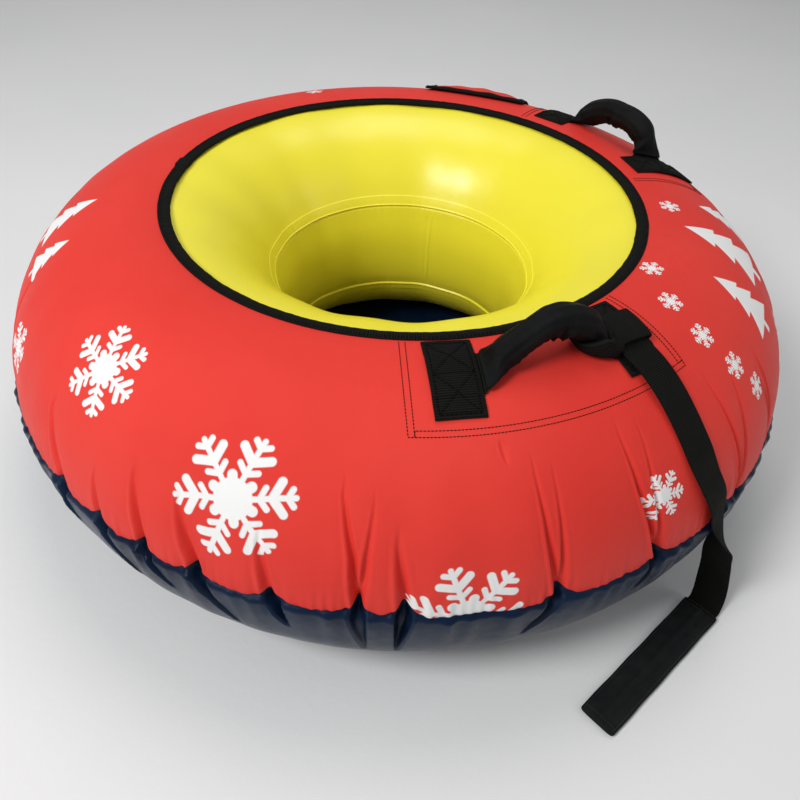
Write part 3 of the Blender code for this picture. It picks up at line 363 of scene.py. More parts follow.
def piece(name, mesh, material, body, replaces=()):
    """A finished piece in the scene, riding on its body. Body None leaves it on no body."""
    mesh.name = name
    obj = bpy.data.objects.new(name, mesh)
    bpy.context.scene.collection.objects.link(obj)
    mesh.materials.append(material)
    if body:
        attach(obj, body)
    if replaces:
        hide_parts(*replaces)
    return obj


def drop_loose(mesh):
    """Deletes points that no face uses."""
    used = np.zeros(len(mesh.vertices), bool)
    corner = np.empty(len(mesh.loops), np.int32)
    mesh.loops.foreach_get("vertex_index", corner)
    used[corner] = True
    shaping = bmesh.new()
    shaping.from_mesh(mesh)
    shaping.verts.ensure_lookup_table()
    loose = [shaping.verts[index] for index in np.flatnonzero(~used)]
    bmesh.ops.delete(shaping, geom=loose, context="VERTS")
    shaping.to_mesh(mesh)
    shaping.free()


def ribbon_ring(width, wall, across):
    """(aside, height) points round a strip's rounded cross section, with height from 0 to the wall."""
    round_off = wall / 2
    flat_half = width / 2 - round_off
    points = []
    for side, level, first_turn in ((1, wall, 90), (-1, 0, -90)):
        for aside in np.linspace(-side * flat_half, side * flat_half, across):
            points.append((aside, level))
        for degrees in np.linspace(first_turn, first_turn - 180, 5)[1:-1]:
            turn = math.radians(degrees)
            aside = side * flat_half + round_off * math.cos(turn)
            points.append((aside, round_off + round_off * math.sin(turn)))
    return np.array(points)


def capped(points):
    """Adds a closing row at each end of a lofted tube of points."""
    first = np.repeat(points[:1].mean(1, keepdims=True), points.shape[1], 1)
    last = np.repeat(points[-1:].mean(1, keepdims=True), points.shape[1], 1)
    return np.concatenate([first, points, last])


def turned_in(points):
    """True if the faces between the middle rings of a tube of points would look inwards."""
    row = points.shape[0] // 2
    ring, following = points[row], points[row + 1]
    beside = np.roll(following, -1, 0)
    normals = np.cross(following - ring, beside - ring)
    return float((normals * (ring - ring.mean(0))).sum()) < 0


def loft_mesh(points, caps=True):
    """Closed tube through rings of points, with a UV layer in metres along and round it."""
    flip = turned_in(points if caps else points[: len(points) // 2])
    if caps:
        points = capped(points)
    rows = len(points)
    middle = points.mean(1)
    along = lengths_along(middle)
    ring = points[rows // 2]
    steps = np.linalg.norm(np.roll(ring, -1, 0) - ring, axis=1)
    around = np.concatenate([[0], np.cumsum(steps)])
    uv = np.stack(np.broadcast_arrays(around[None, :], along[:, None]), -1)
    return grid_mesh(points, around=True, flip=flip, uvs={"fabric": uv})


def smooth_through(points, count):
    """Points at even distances on a smooth curve through the given ones, of any dimension."""
    points = np.array(points, float)
    padded = np.vstack([2 * points[0] - points[1], points, 2 * points[-1] - points[-2]])
    fine = []
    for index in range(1, len(padded) - 2):
        a, b, c, d = padded[index - 1 : index + 3]
        for share in np.linspace(0, 1, 24, endpoint=False):
            squared = share * share
            cubed = squared * share
            first = (c - a) * share
            second = (2 * a - 5 * b + 4 * c - d) * squared
            third = (3 * b - a - 3 * c + d) * cubed
            fine.append((2 * b + first + second + third) / 2)
    fine.append(points[-1])
    fine = np.array(fine)
    lengths = lengths_along(fine[:, :3])
    wanted = np.linspace(0, lengths[-1], count)
    return np.stack([np.interp(wanted, lengths, fine[:, axis]) for axis in range(points.shape[1])], 1)


# Stitches: short rounded threads along lines of points


def stitch_mesh(lines, pitch=0.0036, share=0.74, thread=0.00042):
    """One mesh of all the stitches along lines, each line a pair of arrays: its points and their normals."""
    vertices, faces = [], []
    rings, sides = 5, 6
    for points, normals in lines:
        lengths = lengths_along(points)
        count = max(int(lengths[-1] / pitch), 1)
        for index in range(count):
            start = (index + (1 - share) / 2) * lengths[-1] / count
            stop = start + share * lengths[-1] / count
            places = np.linspace(start, stop, rings)
            middle = np.stack([np.interp(places, lengths, points[:, k]) for k in range(3)], 1)
            up = np.stack([np.interp(places, lengths, normals[:, k]) for k in range(3)], 1)
            along = middle[-1] - middle[0]
            along /= np.linalg.norm(along)
            side = unit(np.cross(along, up))
            arc = np.sin(np.linspace(0, math.pi, rings))
            fat = thread * (0.25 + 0.75 * arc ** 0.5)
            base = len(vertices)
            for ring in range(rings):
                heart = middle[ring] + up[ring] * (thread * (0.7 * arc[ring] - 0.35))
                for turn in ring_turns(sides):
                    aside = side[ring] * fat[ring] * math.cos(turn)
                    vertices.append(heart + aside + up[ring] * fat[ring] * math.sin(turn))
            for ring in range(rings - 1):
                for k in range(sides):
                    after = (k + 1) % sides
                    a = base + ring * sides
                    faces.append((a + k, a + after, a + sides + after, a + sides + k))
            faces.append(tuple(base + k for k in range(sides - 1, -1, -1)))
            faces.append(tuple(base + (rings - 1) * sides + k for k in range(sides)))
    mesh = bpy.data.meshes.new("mesh")
    mesh.from_pydata(np.array(vertices).tolist(), [], faces)
    mesh.shade_smooth()
    return mesh


# Materials


class Look:
    """A material whose nodes are added by short calls."""

    def __init__(self, name, colour, roughness, **sockets):
        self.material = bpy.data.materials.new(name)
        self.material.use_nodes = True
        self.tree = self.material.node_tree
        self.shader = self.tree.nodes["Principled BSDF"]
        self.shader.inputs["Base Color"].default_value = (*colour, 1)
        self.shader.inputs["Roughness"].default_value = roughness
        for socket, value in sockets.items():
            self.shader.inputs[socket.replace("_", " ")].default_value = value

    def node(self, kind, **settings):
        """A new node with its settings."""
        made = self.tree.nodes.new(kind)
        for key, value in settings.items():
            setattr(made, key, value)
        return made

    def put(self, socket, value):
        """Links a node's output to a socket, or sets the socket to a plain value."""
        if isinstance(value, bpy.types.NodeSocket):
            self.tree.links.new(value, socket)
        else:
            socket.default_value = value

    def math(self, operation, *values):
        """Output of a math node."""
        made = self.node("ShaderNodeMath", operation=operation)
        for socket, value in zip(made.inputs, values):
            self.put(socket, value)
        return made.outputs[0]

    def times(self, first, second):
        return self.math("MULTIPLY", first, second)

    def plus(self, first, second):
        return self.math("ADD", first, second)

    def minus(self, first, second):
        return self.math("SUBTRACT", first, second)

    def turned(self, along, aside, angle):
        """A place as it is in axes turned by an angle."""
        cosine, sine = math.cos(angle), math.sin(angle)
        new_along = self.plus(self.times(along, cosine), self.times(aside, sine))
        return new_along, self.minus(self.times(aside, cosine), self.times(along, sine))

    def smallest(self, *values):
        found = values[0]
        for value in values[1:]:
            found = self.math("MINIMUM", found, value)
        return found

    def span(self, value, low, high, to_low=0.0, to_high=1.0):
        """Value mapped from low and high to two others, and held between them."""
        made = self.node("ShaderNodeMapRange")
        self.put(made.inputs["Value"], value)
        for key, number in (("From Min", low), ("From Max", high), ("To Min", to_low), ("To Max", to_high)):
            made.inputs[key].default_value = number
        return made.outputs["Result"]

    def uv(self, name):
        """The two parts of a place in a UV layer."""
        split = self.node("ShaderNodeSeparateXYZ")
        self.put(split.inputs[0], self.node("ShaderNodeUVMap", uv_map=name).outputs[0])
        return split.outputs[0], split.outputs[1]

    def noise(self, scale, detail=3.0, roughness=0.55):
        """Noise in the object's own space, finer with a larger scale."""
        made = self.node("ShaderNodeTexNoise")
        self.put(made.inputs["Vector"], self.node("ShaderNodeTexCoord").outputs["Object"])
        made.inputs["Scale"].default_value = scale
        made.inputs["Detail"].default_value = detail
        made.inputs["Roughness"].default_value = roughness
        return made.outputs[0]

    def mix(self, share, first, second):
        """Colour between two, each a colour or another node's output."""
        made = self.node("ShaderNodeMix", data_type="RGBA")
        self.put(made.inputs[0], share)
        for socket, value in ((made.inputs[6], first), (made.inputs[7], second)):
            self.put(socket, value if isinstance(value, bpy.types.NodeSocket) else (*value, 1))
        return made.outputs[2]

    def wave(self, place, period):
        """From -1 to 1 with a period in metres."""
        return self.math("SINE", self.times(place, FULL_TURN / period))

    def weave(self, period):
        """Height of a plain weave, from -1 to 1."""
        across, along = self.uv("fabric")
        return self.times(self.wave(across, period), self.wave(along, period))

    def bumps(self, *heights):
        """Bumps one over the other, each (height socket, depth in metres)."""
        normal = None
        for height, depth in heights:
            made = self.node("ShaderNodeBump")
            made.inputs["Strength"].default_value = 1.0
            made.inputs["Distance"].default_value = depth
            self.put(made.inputs["Height"], height)
            if normal is not None:
                self.put(made.inputs["Normal"], normal)
            normal = made.outputs["Normal"]
        self.put(self.shader.inputs["Normal"], normal)

    def colour(self, value):
        self.put(self.shader.inputs["Base Color"], value)

    def mottle(self, noise, low, high, dark, light):
        """Colour that follows a noise from dark to light."""
        self.colour(self.mix(self.span(noise, low, high), dark, light))

    def roughen(self, noise, least, most):
        """Roughness that follows a noise."""
        self.put(self.shader.inputs["Roughness"], self.span(noise, 0.3, 0.7, least, most))


# In the UV layer for prints, trees are moved aside by TREE_SHIFT, so that a place tells which motif it is on
TREE_SHIFT = 10.0
TREES_FROM = 5.0


def capsule(look, along, aside, length, half_width):
    """Distance of a place from a rounded bar that starts at 0."""
    over = look.minus(along, look.math("MINIMUM", look.math("MAXIMUM", along, 0.0), length))
    squares = look.plus(look.times(over, over), look.times(aside, aside))
    return look.minus(look.math("SQRT", squares), half_width)


def print_mask(look):
    """1 on the printed snowflakes and fir trees of the UV layer for prints."""
    x, y = look.uv("print")
    is_tree = look.math("GREATER_THAN", x, TREES_FROM)
    radius = look.math("SQRT", look.plus(look.times(x, x), look.times(y, y)))
    turned = look.math("FLOORED_MODULO", look.plus(look.math("ARCTAN2", y, x), math.pi / 6), math.pi / 3)
    folded = look.math("ABSOLUTE", look.minus(turned, math.pi / 6))
    along = look.times(radius, look.math("COSINE", folded))
    aside = look.times(radius, look.math("SINE", folded))

    # one arm of a flake with its three pairs of branches, the lobes round its middle and the middle itself
    lean = math.radians(58)
    lean_along, lean_aside = look.turned(along, aside, lean)
    shapes = [capsule(look, along, aside, 0.955, 0.045)]
    for start, length, half_width in ((0.415, 0.190, 0.047), (0.605, 0.285, 0.070), (0.835, 0.150, 0.048)):
        from_start = look.minus(lean_along, start * math.cos(lean))
        beside = look.plus(lean_aside, start * math.sin(lean))
        shapes.append(capsule(look, from_start, beside, length, half_width))
    shapes.append(capsule(look, *look.turned(along, aside, math.radians(30)), 0.350, 0.082))
    shapes.append(look.minus(radius, 0.315))
    flake = look.smallest(*shapes)

    # three tiers of a fir tree and its trunk
    tree_x = look.math("ABSOLUTE", look.minus(x, TREE_SHIFT))
    tiers = []
    for apex, base, half_width in ((1.0, 0.36, 0.34), (0.66, -0.12, 0.50), (0.26, -0.70, 0.66)):
        side = look.minus(tree_x, look.times(look.minus(apex, y), half_width / (apex - base)))
        tiers.append(look.math("MAXIMUM", look.times(side, 0.88), look.minus(base, y)))
    trunk_end = look.minus(look.math("ABSOLUTE", look.plus(y, 0.83)), 0.15)
    tiers.append(look.math("MAXIMUM", look.minus(tree_x, 0.085), trunk_end))
    tree = look.smallest(*tiers)
    picked = look.plus(look.times(is_tree, tree), look.times(look.minus(1.0, is_tree), flake))
    return look.span(picked, 0.010, -0.010)


RED = (0.770, 0.047, 0.034)
YELLOW = (0.880, 0.800, 0.040)
PRINT_WHITE = (0.90, 0.90, 0.89)


def make_red_fabric(name, with_print):
    """Coated fabric with a fine weave, faint patches and, on the cover, the white print."""
    look = Look(name, RED, 0.46, Specular_IOR_Level=0.16)
    patches = look.noise(5.0, 3.0, 0.5)
    colour = look.mix(look.span(patches, 0.35, 0.65), (0.745, 0.039, 0.028), (0.805, 0.048, 0.034))
    look.roughen(look.noise(14.0, 4.0, 0.6), 0.42, 0.52)
    specks = look.noise(900.0, 2.0, 0.6)
    heights = [(look.weave(0.00066), 0.00006), (look.noise(38.0, 3.0, 0.5), 0.0007), (specks, 0.00005)]
    if with_print:
        mask = print_mask(look)
        colour = look.mix(mask, colour, PRINT_WHITE)
        heights.append((mask, 0.00012))
    look.colour(colour)
    look.bumps(*heights)
    return look.material


def make_vinyl():
    """Yellow vinyl, slightly cloudy and finely grained."""
    look = Look("yellow_vinyl", YELLOW, 0.34, Specular_IOR_Level=0.5, Coat_Weight=0.12, Coat_Roughness=0.25)
    look.mottle(look.noise(3.5, 3.0, 0.5), 0.35, 0.65, (0.870, 0.765, 0.033), (0.900, 0.805, 0.041))
    look.roughen(look.noise(22.0, 4.0, 0.6), 0.30, 0.40)
    look.bumps((look.noise(26.0, 2.0, 0.5), 0.0006), (look.noise(1500.0, 2.0, 0.5), 0.00003))
    return look.material


def make_base_sheet():
    """Near-black glossy sheet of the base, its blue tint a painted reflection of a blue floor."""
    # the blue in these colours is a painted reflection of a blue floor, on a sheet that is itself near-black
    look = Look("dark_base", (0.004, 0.012, 0.034), 0.20, IOR=1.22, Specular_IOR_Level=0.45)
    look.mottle(look.noise(9.0), 0.35, 0.65, (0.0030, 0.0100, 0.0300), (0.0055, 0.0170, 0.0460))
    look.roughen(look.noise(40.0, 4.0, 0.6), 0.13, 0.26)
    look.bumps((look.noise(48.0, 3.0, 0.5), 0.0012), (look.weave(0.0009), 0.00005))
    return look.material


def make_webbing(name, rib):
    """Woven tape: ribs across it, with the finer threads between, and a painted highlight on their tops and
    painted shade in their hollows.
    """
    dark, light = (0.0009, 0.0009, 0.0008), (0.0150, 0.0156, 0.0132)
    look = Look(name, dark, 0.80, Specular_IOR_Level=0.08)
    across, along = look.uv("fabric")
    ribs = look.wave(along, rib)
    shifted = look.plus(across, look.times(look.math("SIGN", ribs), rib * 0.25))
    threads = look.wave(shifted, rib * 0.9)
    height = look.plus(look.times(ribs, 0.65), look.times(threads, 0.35))
    # colour follows the weave's height: painted highlight on the rib tops, painted shade in the hollows
    # between them
    look.mottle(height, -0.9, 0.9, dark, light)
    look.roughen(look.noise(60.0), 0.74, 0.86)
    look.bumps((height, 0.00050), (look.noise(700.0, 2.0, 0.6), 0.00008))
    return look.material


def make_soft_fabric(name, colour, weave=0.0008, puckers=0.0009):
    """Smooth dark fabric with a fine weave and small creases."""
    look = Look(name, colour, 0.6, Specular_IOR_Level=0.10)
    darker = tuple(value * 0.72 for value in colour)
    lighter = tuple(value * 1.30 for value in colour)
    look.mottle(look.noise(45.0, 4.0, 0.6), 0.3, 0.7, darker, lighter)
    look.roughen(look.noise(30.0), 0.52, 0.66)
    look.bumps((look.noise(95.0, 3.0, 0.55), puckers), (look.weave(weave), 0.00007))
    return look.material


def make_plastic(name, colour, roughness):
    """Moulded plastic or rubber of the valve."""
    look = Look(name, colour, roughness, Specular_IOR_Level=0.5)
    darker = tuple(value * 0.90 for value in colour)
    look.mottle(look.noise(70.0), 0.35, 0.65, darker, colour)
    look.roughen(look.noise(160.0), roughness - 0.06, roughness + 0.08)
    look.bumps((look.noise(1400.0, 2.0), 0.00003), (look.noise(120.0, 2.0), 0.0001))
    return look.material


def make_foam_look():
    """Grey foam with small cells, with painted shade in the cells' hollows."""
    look = Look("foam_grey", (0.10, 0.10, 0.10), 0.9, Specular_IOR_Level=0.2)
    cells = look.node("ShaderNodeTexVoronoi")
    look.put(cells.inputs["Vector"], look.node("ShaderNodeTexCoord").outputs["Object"])
    cells.inputs["Scale"].default_value = 900.0
    # darker where the cells' bump sinks: painted shade in the cells' hollows
    look.colour(look.mix(cells.outputs["Distance"], (0.05, 0.05, 0.05), (0.13, 0.13, 0.13)))
    look.bumps((cells.outputs["Distance"], 0.0004))
    return look.material


red_fabric = make_red_fabric("red_fabric", True)
flap_fabric = make_red_fabric("red_flap_fabric", False)
yellow_vinyl = make_vinyl()
dark_base = make_base_sheet()
webbing = make_webbing("black_webbing", 0.0025)
strap_webbing = make_webbing("leash_webbing", 0.0022)
binding_tape = make_webbing("binding_tape", 0.0027)
sleeve_fabric = make_soft_fabric("sleeve_fabric", (0.0048, 0.0051, 0.0054))
pad_fabric = make_soft_fabric("pad_fabric", (0.0098, 0.0110, 0.0112), puckers=0.0005)
backing_fabric = make_soft_fabric("backing_fabric", (0.010, 0.010, 0.010))
dark_thread = make_soft_fabric("dark_thread", (0.010, 0.002, 0.002), weave=0.0004, puckers=0.0001)
pad_thread = make_soft_fabric("pad_thread", (0.040, 0.043, 0.043), weave=0.0004, puckers=0.0001)
grey_thread = make_soft_fabric("grey_thread", (0.0006, 0.0006, 0.0006), weave=0.0004, puckers=0.0001)
foam_grey = make_foam_look()
valve_white = make_plastic("valve_white", (0.70, 0.70, 0.68), 0.38)
cap_red = make_plastic("cap_red", (0.66, 0.050, 0.040), 0.38)
membrane_rubber = make_plastic("membrane_rubber", (0.045, 0.045, 0.045), 0.62)


# Camera, floor and light


def make_camera():
    """The photograph's camera, as it was fitted to the photograph."""
    data = bpy.data.cameras.new("camera")
    data.lens = 34.2
    data.sensor_width = 36.0
    camera = bpy.data.objects.new("camera", data)
    right = Vector((0.99893657, 0.02634276, 0.03783889))
    up = Vector((-0.04567596, 0.67720619, 0.73437421))
    back = Vector((-0.00627928, -0.73532158, 0.67768926))
    matrix = Matrix((right, up, back)).transposed().to_4x4()
    matrix.translation = (0, -0.87916, 0.80104)
    camera.matrix_world = matrix
    bpy.context.scene.collection.objects.link(camera)
    bpy.context.scene.camera = camera


def make_floor():
    """Plain pale floor."""
    floor = Look("floor", (0.80, 0.80, 0.80), 0.62, Specular_IOR_Level=0.25)
    floor.mottle(floor.noise(1.4, 4.0), 0.3, 0.7, (0.775, 0.780, 0.785), (0.815, 0.815, 0.815))
    floor.roughen(floor.noise(6.0), 0.55, 0.70)
    floor.bumps((floor.noise(90.0), 0.0003))
    mesh = bpy.data.meshes.new("floor")
    half = 7.0
    corners = [(-half, -half, 0), (half, -half, 0), (half, half, 0), (-half, half, 0)]
    mesh.from_pydata(corners, [], [(0, 1, 2, 3)])
    mesh.materials.append(floor.material)
    obj = bpy.data.objects.new("floor", mesh)
    bpy.context.scene.collection.objects.link(obj)


def make_light(name, place, size, power):
    """A round lamp that shines on the tube."""
    data = bpy.data.lights.new(name, "AREA")
    data.shape = "DISK"
    data.size = size
    data.energy = power
    light = bpy.data.objects.new(name, data)
    aim = Vector((0, 0, 0.2)) - Vector(place)
    light.matrix_world = Matrix.Translation(place) @ aim.to_track_quat("-Z", "Y").to_matrix().to_4x4()
    bpy.context.scene.collection.objects.link(light)


def make_lights():
    """Even light from all round, with a shade of its own where the camera sees it, and three lamps."""
    world = bpy.data.worlds.new("world")
    bpy.context.scene.world = world
    world.use_nodes = True
    nodes, links = world.node_tree.nodes, world.node_tree.links
    background = nodes["Background"]
    background.inputs["Color"].default_value = (1.0, 1.0, 1.0, 1)
    background.inputs["Strength"].default_value = 0.34
    seen = nodes.new("ShaderNodeBackground")
    seen.inputs["Color"].default_value = (0.66, 0.665, 0.67, 1)
    path = nodes.new("ShaderNodeLightPath")
    choice = nodes.new("ShaderNodeMixShader")
    links.new(path.outputs["Is Camera Ray"], choice.inputs["Fac"])
    links.new(background.outputs["Background"], choice.inputs[1])
    links.new(seen.outputs["Background"], choice.inputs[2])
    links.new(choice.outputs["Shader"], nodes["World Output"].inputs["Surface"])
    make_light("key", (-1.6, -1.5, 2.4), 1.0, 58.0)
    make_light("top", (0.1, 0.7, 2.9), 1.6, 20.0)
    make_light("side", (2.4, -0.3, 1.5), 1.4, 5.0)


make_camera()
make_floor()
make_lights()
bpy.context.scene.view_settings.view_transform = "Standard"


# Leash: a strap from the front handle to the floor, and the padded grip on its end

LEASH_WIDTH = 0.038
LEASH_WALL = 0.0018
LEASH_LAID = (
    (0.2322, -0.2908, 0.0055),
    (0.2385, -0.2975, 0.0055),
    (0.2465, -0.3060, 0.0055),
    (0.2565, -0.3178, 0.0053),
    (0.2673, -0.3293, 0.0038),
    (0.2788, -0.3411, 0.0022),
    (0.2898, -0.3519, 0.0018),
    (0.2993, -0.3608, 0.0024),
)
LEASH_HANGING = (
    (0.3158, -0.3692, 0.2440, (0.72, -0.60, 0.40)),
    (0.3334, -0.3718, 0.2150, (0.76, -0.58, 0.26)),
    (0.3452, -0.3683, 0.1850, (0.84, -0.50, 0.10)),
    (0.3583, -0.3626, 0.1560, (0.97, -0.16, 0.02)),
    (0.3697, -0.3552, 0.1260, (0.92, 0.36, -0.02)),
    (0.3775, -0.3477, 0.0940, (0.78, 0.62, -0.04)),
    (0.3860, -0.3436, 0.0640, (0.74, 0.64, -0.16)),
    (0.3915, -0.3430, 0.0370, (0.60, 0.58, -0.54)),
    (0.3915, -0.3500, 0.0160, (0.42, 0.42, -0.80)),
    (0.3868, -0.3582, 0.0058, (0.10, 0.10, -0.99)),
)
LEASH_TUCKED = (0.2256, -0.2835, 0.3520, 0.09, -0.13, 0.99)
GRIP_START = (0.3820, -0.3628)
GRIP_LENGTH = 0.211
GRIP_WIDTH = 0.043
GRIP_HEIGHT = 0.010
GRIP_HEADING = -136.0
LEASH_IN_GRIP = 0.190
# The pad's hem takes its height at this share of the pad's length
HEM_SHARE = 0.024


def direction(degrees):
    """Level direction at an angle from +X."""
    turn = math.radians(degrees)
    return Vector((math.cos(turn), math.sin(turn), 0))


def leash_route():
    """(x, y, z, outward direction) points of the strap's middle, from the handle to the end in the grip."""
    route = []
    for x, y, lift in LEASH_LAID:
        point = Vector(on_cover(x, y, lift))
        route.append((*point, *cover_normal(point)))
    for x, y, z, looks in LEASH_HANGING:
        route.append((x, y, z, *Vector(looks).normalized()))
    heading = direction(GRIP_HEADING)
    for share in (0, 0.33, 0.66, 1):
        place = Vector((*GRIP_START, GRIP_HEIGHT / 2)) + heading * LEASH_IN_GRIP * share
        route.append((*place, 0, 0, -1))
    return route


def frames_along(samples):
    """Middles, sides and outward directions of a strap through samples of point and outer direction."""
    middles = samples[:, :3]
    tangents = unit(np.gradient(middles, axis=0))
    sides = unit(np.cross(tangents, samples[:, 3:6]))
    return middles, sides, np.cross(sides, tangents)


def make_leash():
    """The strap, slightly bowed where it hangs free, and the samples of its middle line."""
    samples = smooth_through([LEASH_TUCKED, *leash_route()], 260)
    middles, sides, ups = frames_along(samples)
    aside, height = ribbon_ring(LEASH_WIDTH, LEASH_WALL, across=15).T
    share = np.arange(len(samples))[:, None] / (len(samples) - 1)
    slack = np.sin(math.pi * np.clip((share - 0.12) / 0.52, 0, 1)) ** 2
    edge = (aside / (LEASH_WIDTH / 2)) ** 2
    bow = 0.0011 * slack * edge * np.sin(31 * share) + 0.0005 * slack * np.sin(63 * share + aside * 60)
    undersides = middles - ups * LEASH_WALL / 2
    points = undersides[:, None] + sides[:, None] * aside[:, None] + ups[:, None] * (height + bow)[..., None]
    strap = piece("leash_strap_woven", loft_mesh(points), strap_webbing, "tube", ["leash_strap"])
    return strap, samples


def pad_surface(along, aside_share, top):
    """Height of the padded grip's faces, from its length share and its share across."""
    full = (1 - np.abs(aside_share) ** 3) ** 0.42
    ends = np.clip(np.minimum(along, 1 - along) / 0.035, 0, 1) ** 0.45
    aside_mm = aside_share * 21.5
    ridge = 0.0013 * bell(aside_mm, 3.0) - 0.0005 * bell(aside_mm - 6.5, 2.5)
    seams = 0.0004 * bell(np.abs(aside_share) - 0.86, 0.05)
    uneven = 0.00035 * np.sin(along * 37 + aside_share * 2.1) * np.sin(along * 14 + 1)
    upper = 0.0050 + (0.0043 * full + ridge - seams + uneven) * (0.35 + 0.65 * ends)
    lower = 0.0050 - 0.0044 * full * (0.5 + 0.5 * ends)
    return np.where(top, upper, lower)


def make_pad():
    """Flat padded sleeve: rows along it, points round it."""
    rows, half_ring = 190, 44
    along = np.concatenate([[0.0], np.linspace(0.0, 1.0, rows), [1.0]])
    over = np.cos(np.linspace(0, math.pi, half_ring))
    shares = np.concatenate([-over, over[1:-1]])
    top = np.concatenate([np.ones(half_ring, bool), np.zeros(half_ring - 2, bool)])
    share_along, share_aside = along[:, None], shares[None, :]
    height = pad_surface(share_along, share_aside, top[None, :])
    corner = np.clip(np.minimum(along, 1 - along) * GRIP_LENGTH / 0.004, 0, 1)
    narrow = 1 - 0.10 * (1 - np.sqrt(1 - (1 - corner) ** 2))
    wave = 1 + 0.010 * np.sin(along * 23 + 0.8)
    half_width = GRIP_WIDTH / 2 * narrow * wave
    heading = np.array(direction(GRIP_HEADING))
    across = np.array((-heading[1], heading[0], 0))
    start = np.array((*GRIP_START, 0))
    beside = across * (share_aside * half_width[:, None])[..., None]
    points = start + heading * (along * GRIP_LENGTH)[:, None, None] + beside
    points[..., 2] = np.maximum(height, 0.0001)
    mesh = loft_mesh(points)
    pad = piece("leash_pad", mesh, pad_fabric, "tube", ["leash_grip"])
    return pad, heading, across, start


def pad_line(heading, across, start, share_aside, first, last):
    """Line for stitches along the pad's upper face."""
    along = np.linspace(first, last, 60)
    height = pad_surface(along, np.full(60, share_aside), np.ones(60, bool))
    points = start + heading * (along * GRIP_LENGTH)[:, None] + across * share_aside * GRIP_WIDTH / 2
    points[:, 2] = height + 0.0001
    return upright(points)


def make_pad_trim(heading, across, start):
    """The hem tape at the strap's end and the stitches along the pad's sides."""
    rows, ring = 60, ribbon_ring(0.0075, 0.0009, across=6)
    points = np.zeros((rows, len(ring), 3))
    for index, share in enumerate(np.linspace(-0.985, 0.985, rows)):
        top = float(pad_surface(np.array(HEM_SHARE), np.array(share), np.array(True)))
        middle = start + heading * 0.0048 + across * share * GRIP_WIDTH / 2
        points[index] = middle + heading * ring[:, :1]
        points[index, :, 2] = top - 0.0002 + ring[:, 1] + 0.00012 * math.sin(index * 0.9)
    tape = piece("leash_pad_hem", loft_mesh(points), binding_tape, "tube")
    lines = [pad_line(heading, across, start, side * 0.86, 0.05, 0.985) for side in (-1, 1)]
    for reach, end, share_along, lift in (
        (0.0022, 0.93, HEM_SHARE, 0.0008), (0.0074, 0.93, HEM_SHARE, 0.0008), (0.2035, 0.90, 0.965, 0.0001),
    ):
        ends = np.linspace(-end, end, 40)
        points = start + heading * reach + across * (ends * GRIP_WIDTH / 2)[:, None]
        points[:, 2] = pad_surface(np.full(40, share_along), ends, np.ones(40, bool)) + lift
        lines.append(upright(points))
    stitches = piece("leash_pad_stitches", stitch_mesh(lines, 0.0030), pad_thread, "tube")
    return [tape, stitches]


leash, leash_samples = make_leash()
pad, pad_heading, pad_across, pad_start = make_pad()
pad_trim = make_pad_trim(pad_heading, pad_across, pad_start)


# Printed pattern on the cover: (kind, angle, distance from the opening, radius, turn in degrees)

PRINTS = (
    ("flake", -131.8, 0.1430, 0.0490, -10.0),
    ("flake", -107.6, 0.1960, 0.0620, 14.0),
    ("flake", -81.1, 0.2930, 0.0605, -10.5),
    ("flake", -56.9, 0.2200, 0.0262, -7.0),
    ("flake", -0.6, 0.0391, 0.0140, 0.0),
    ("flake", -28.5, 0.0224, 0.0140, 0.0),
    ("flake", -35.9, 0.0605, 0.0145, 0.0),
    ("flake", -37.7, 0.1084, 0.0150, 0.0),
    ("flake", -36.2, 0.1554, 0.0155, 0.0),
    ("flake", -33.5, 0.1943, 0.0155, 0.0),
    ("tree", -9.0, 0.1120, 0.0620, -4.0),
    ("tree", -21.5, 0.1380, 0.0500, 5.0),
    ("tree", 3.5, 0.1300, 0.0430, 3.0),
    ("flake", -14.0, 0.2220, 0.0220, 10.0),
    ("flake", 9.5, 0.1900, 0.0200, 0.0),
    ("flake", 25.0, 0.2150, 0.0440, 20.0),
    ("flake", 52.0, 0.2050, 0.0320, 8.0),
    ("flake", 114.6, 0.0650, 0.0140, 0.0),
    ("flake", 108.0, 0.1300, 0.0300, 12.0),
    ("flake", 128.0, 0.2000, 0.0560, 4.0),
    ("flake", 147.0, 0.1750, 0.0380, 22.0),
    ("flake", 168.0, 0.2150, 0.0420, 0.0),
    ("tree", 186.0, 0.1350, 0.0500, 4.0),
    ("tree", 196.0, 0.1500, 0.0380, -6.0),
    ("flake", 207.0, 0.2250, 0.0300, 15.0),
    ("flake", 88.0, 0.2280, 0.0260, 0.0),
)


# A place outside all motifs, and how far from a motif's middle its own faces reach, in its radii
NO_MOTIF = (0.0, 30.0)
MOTIF_REACH = 1.25


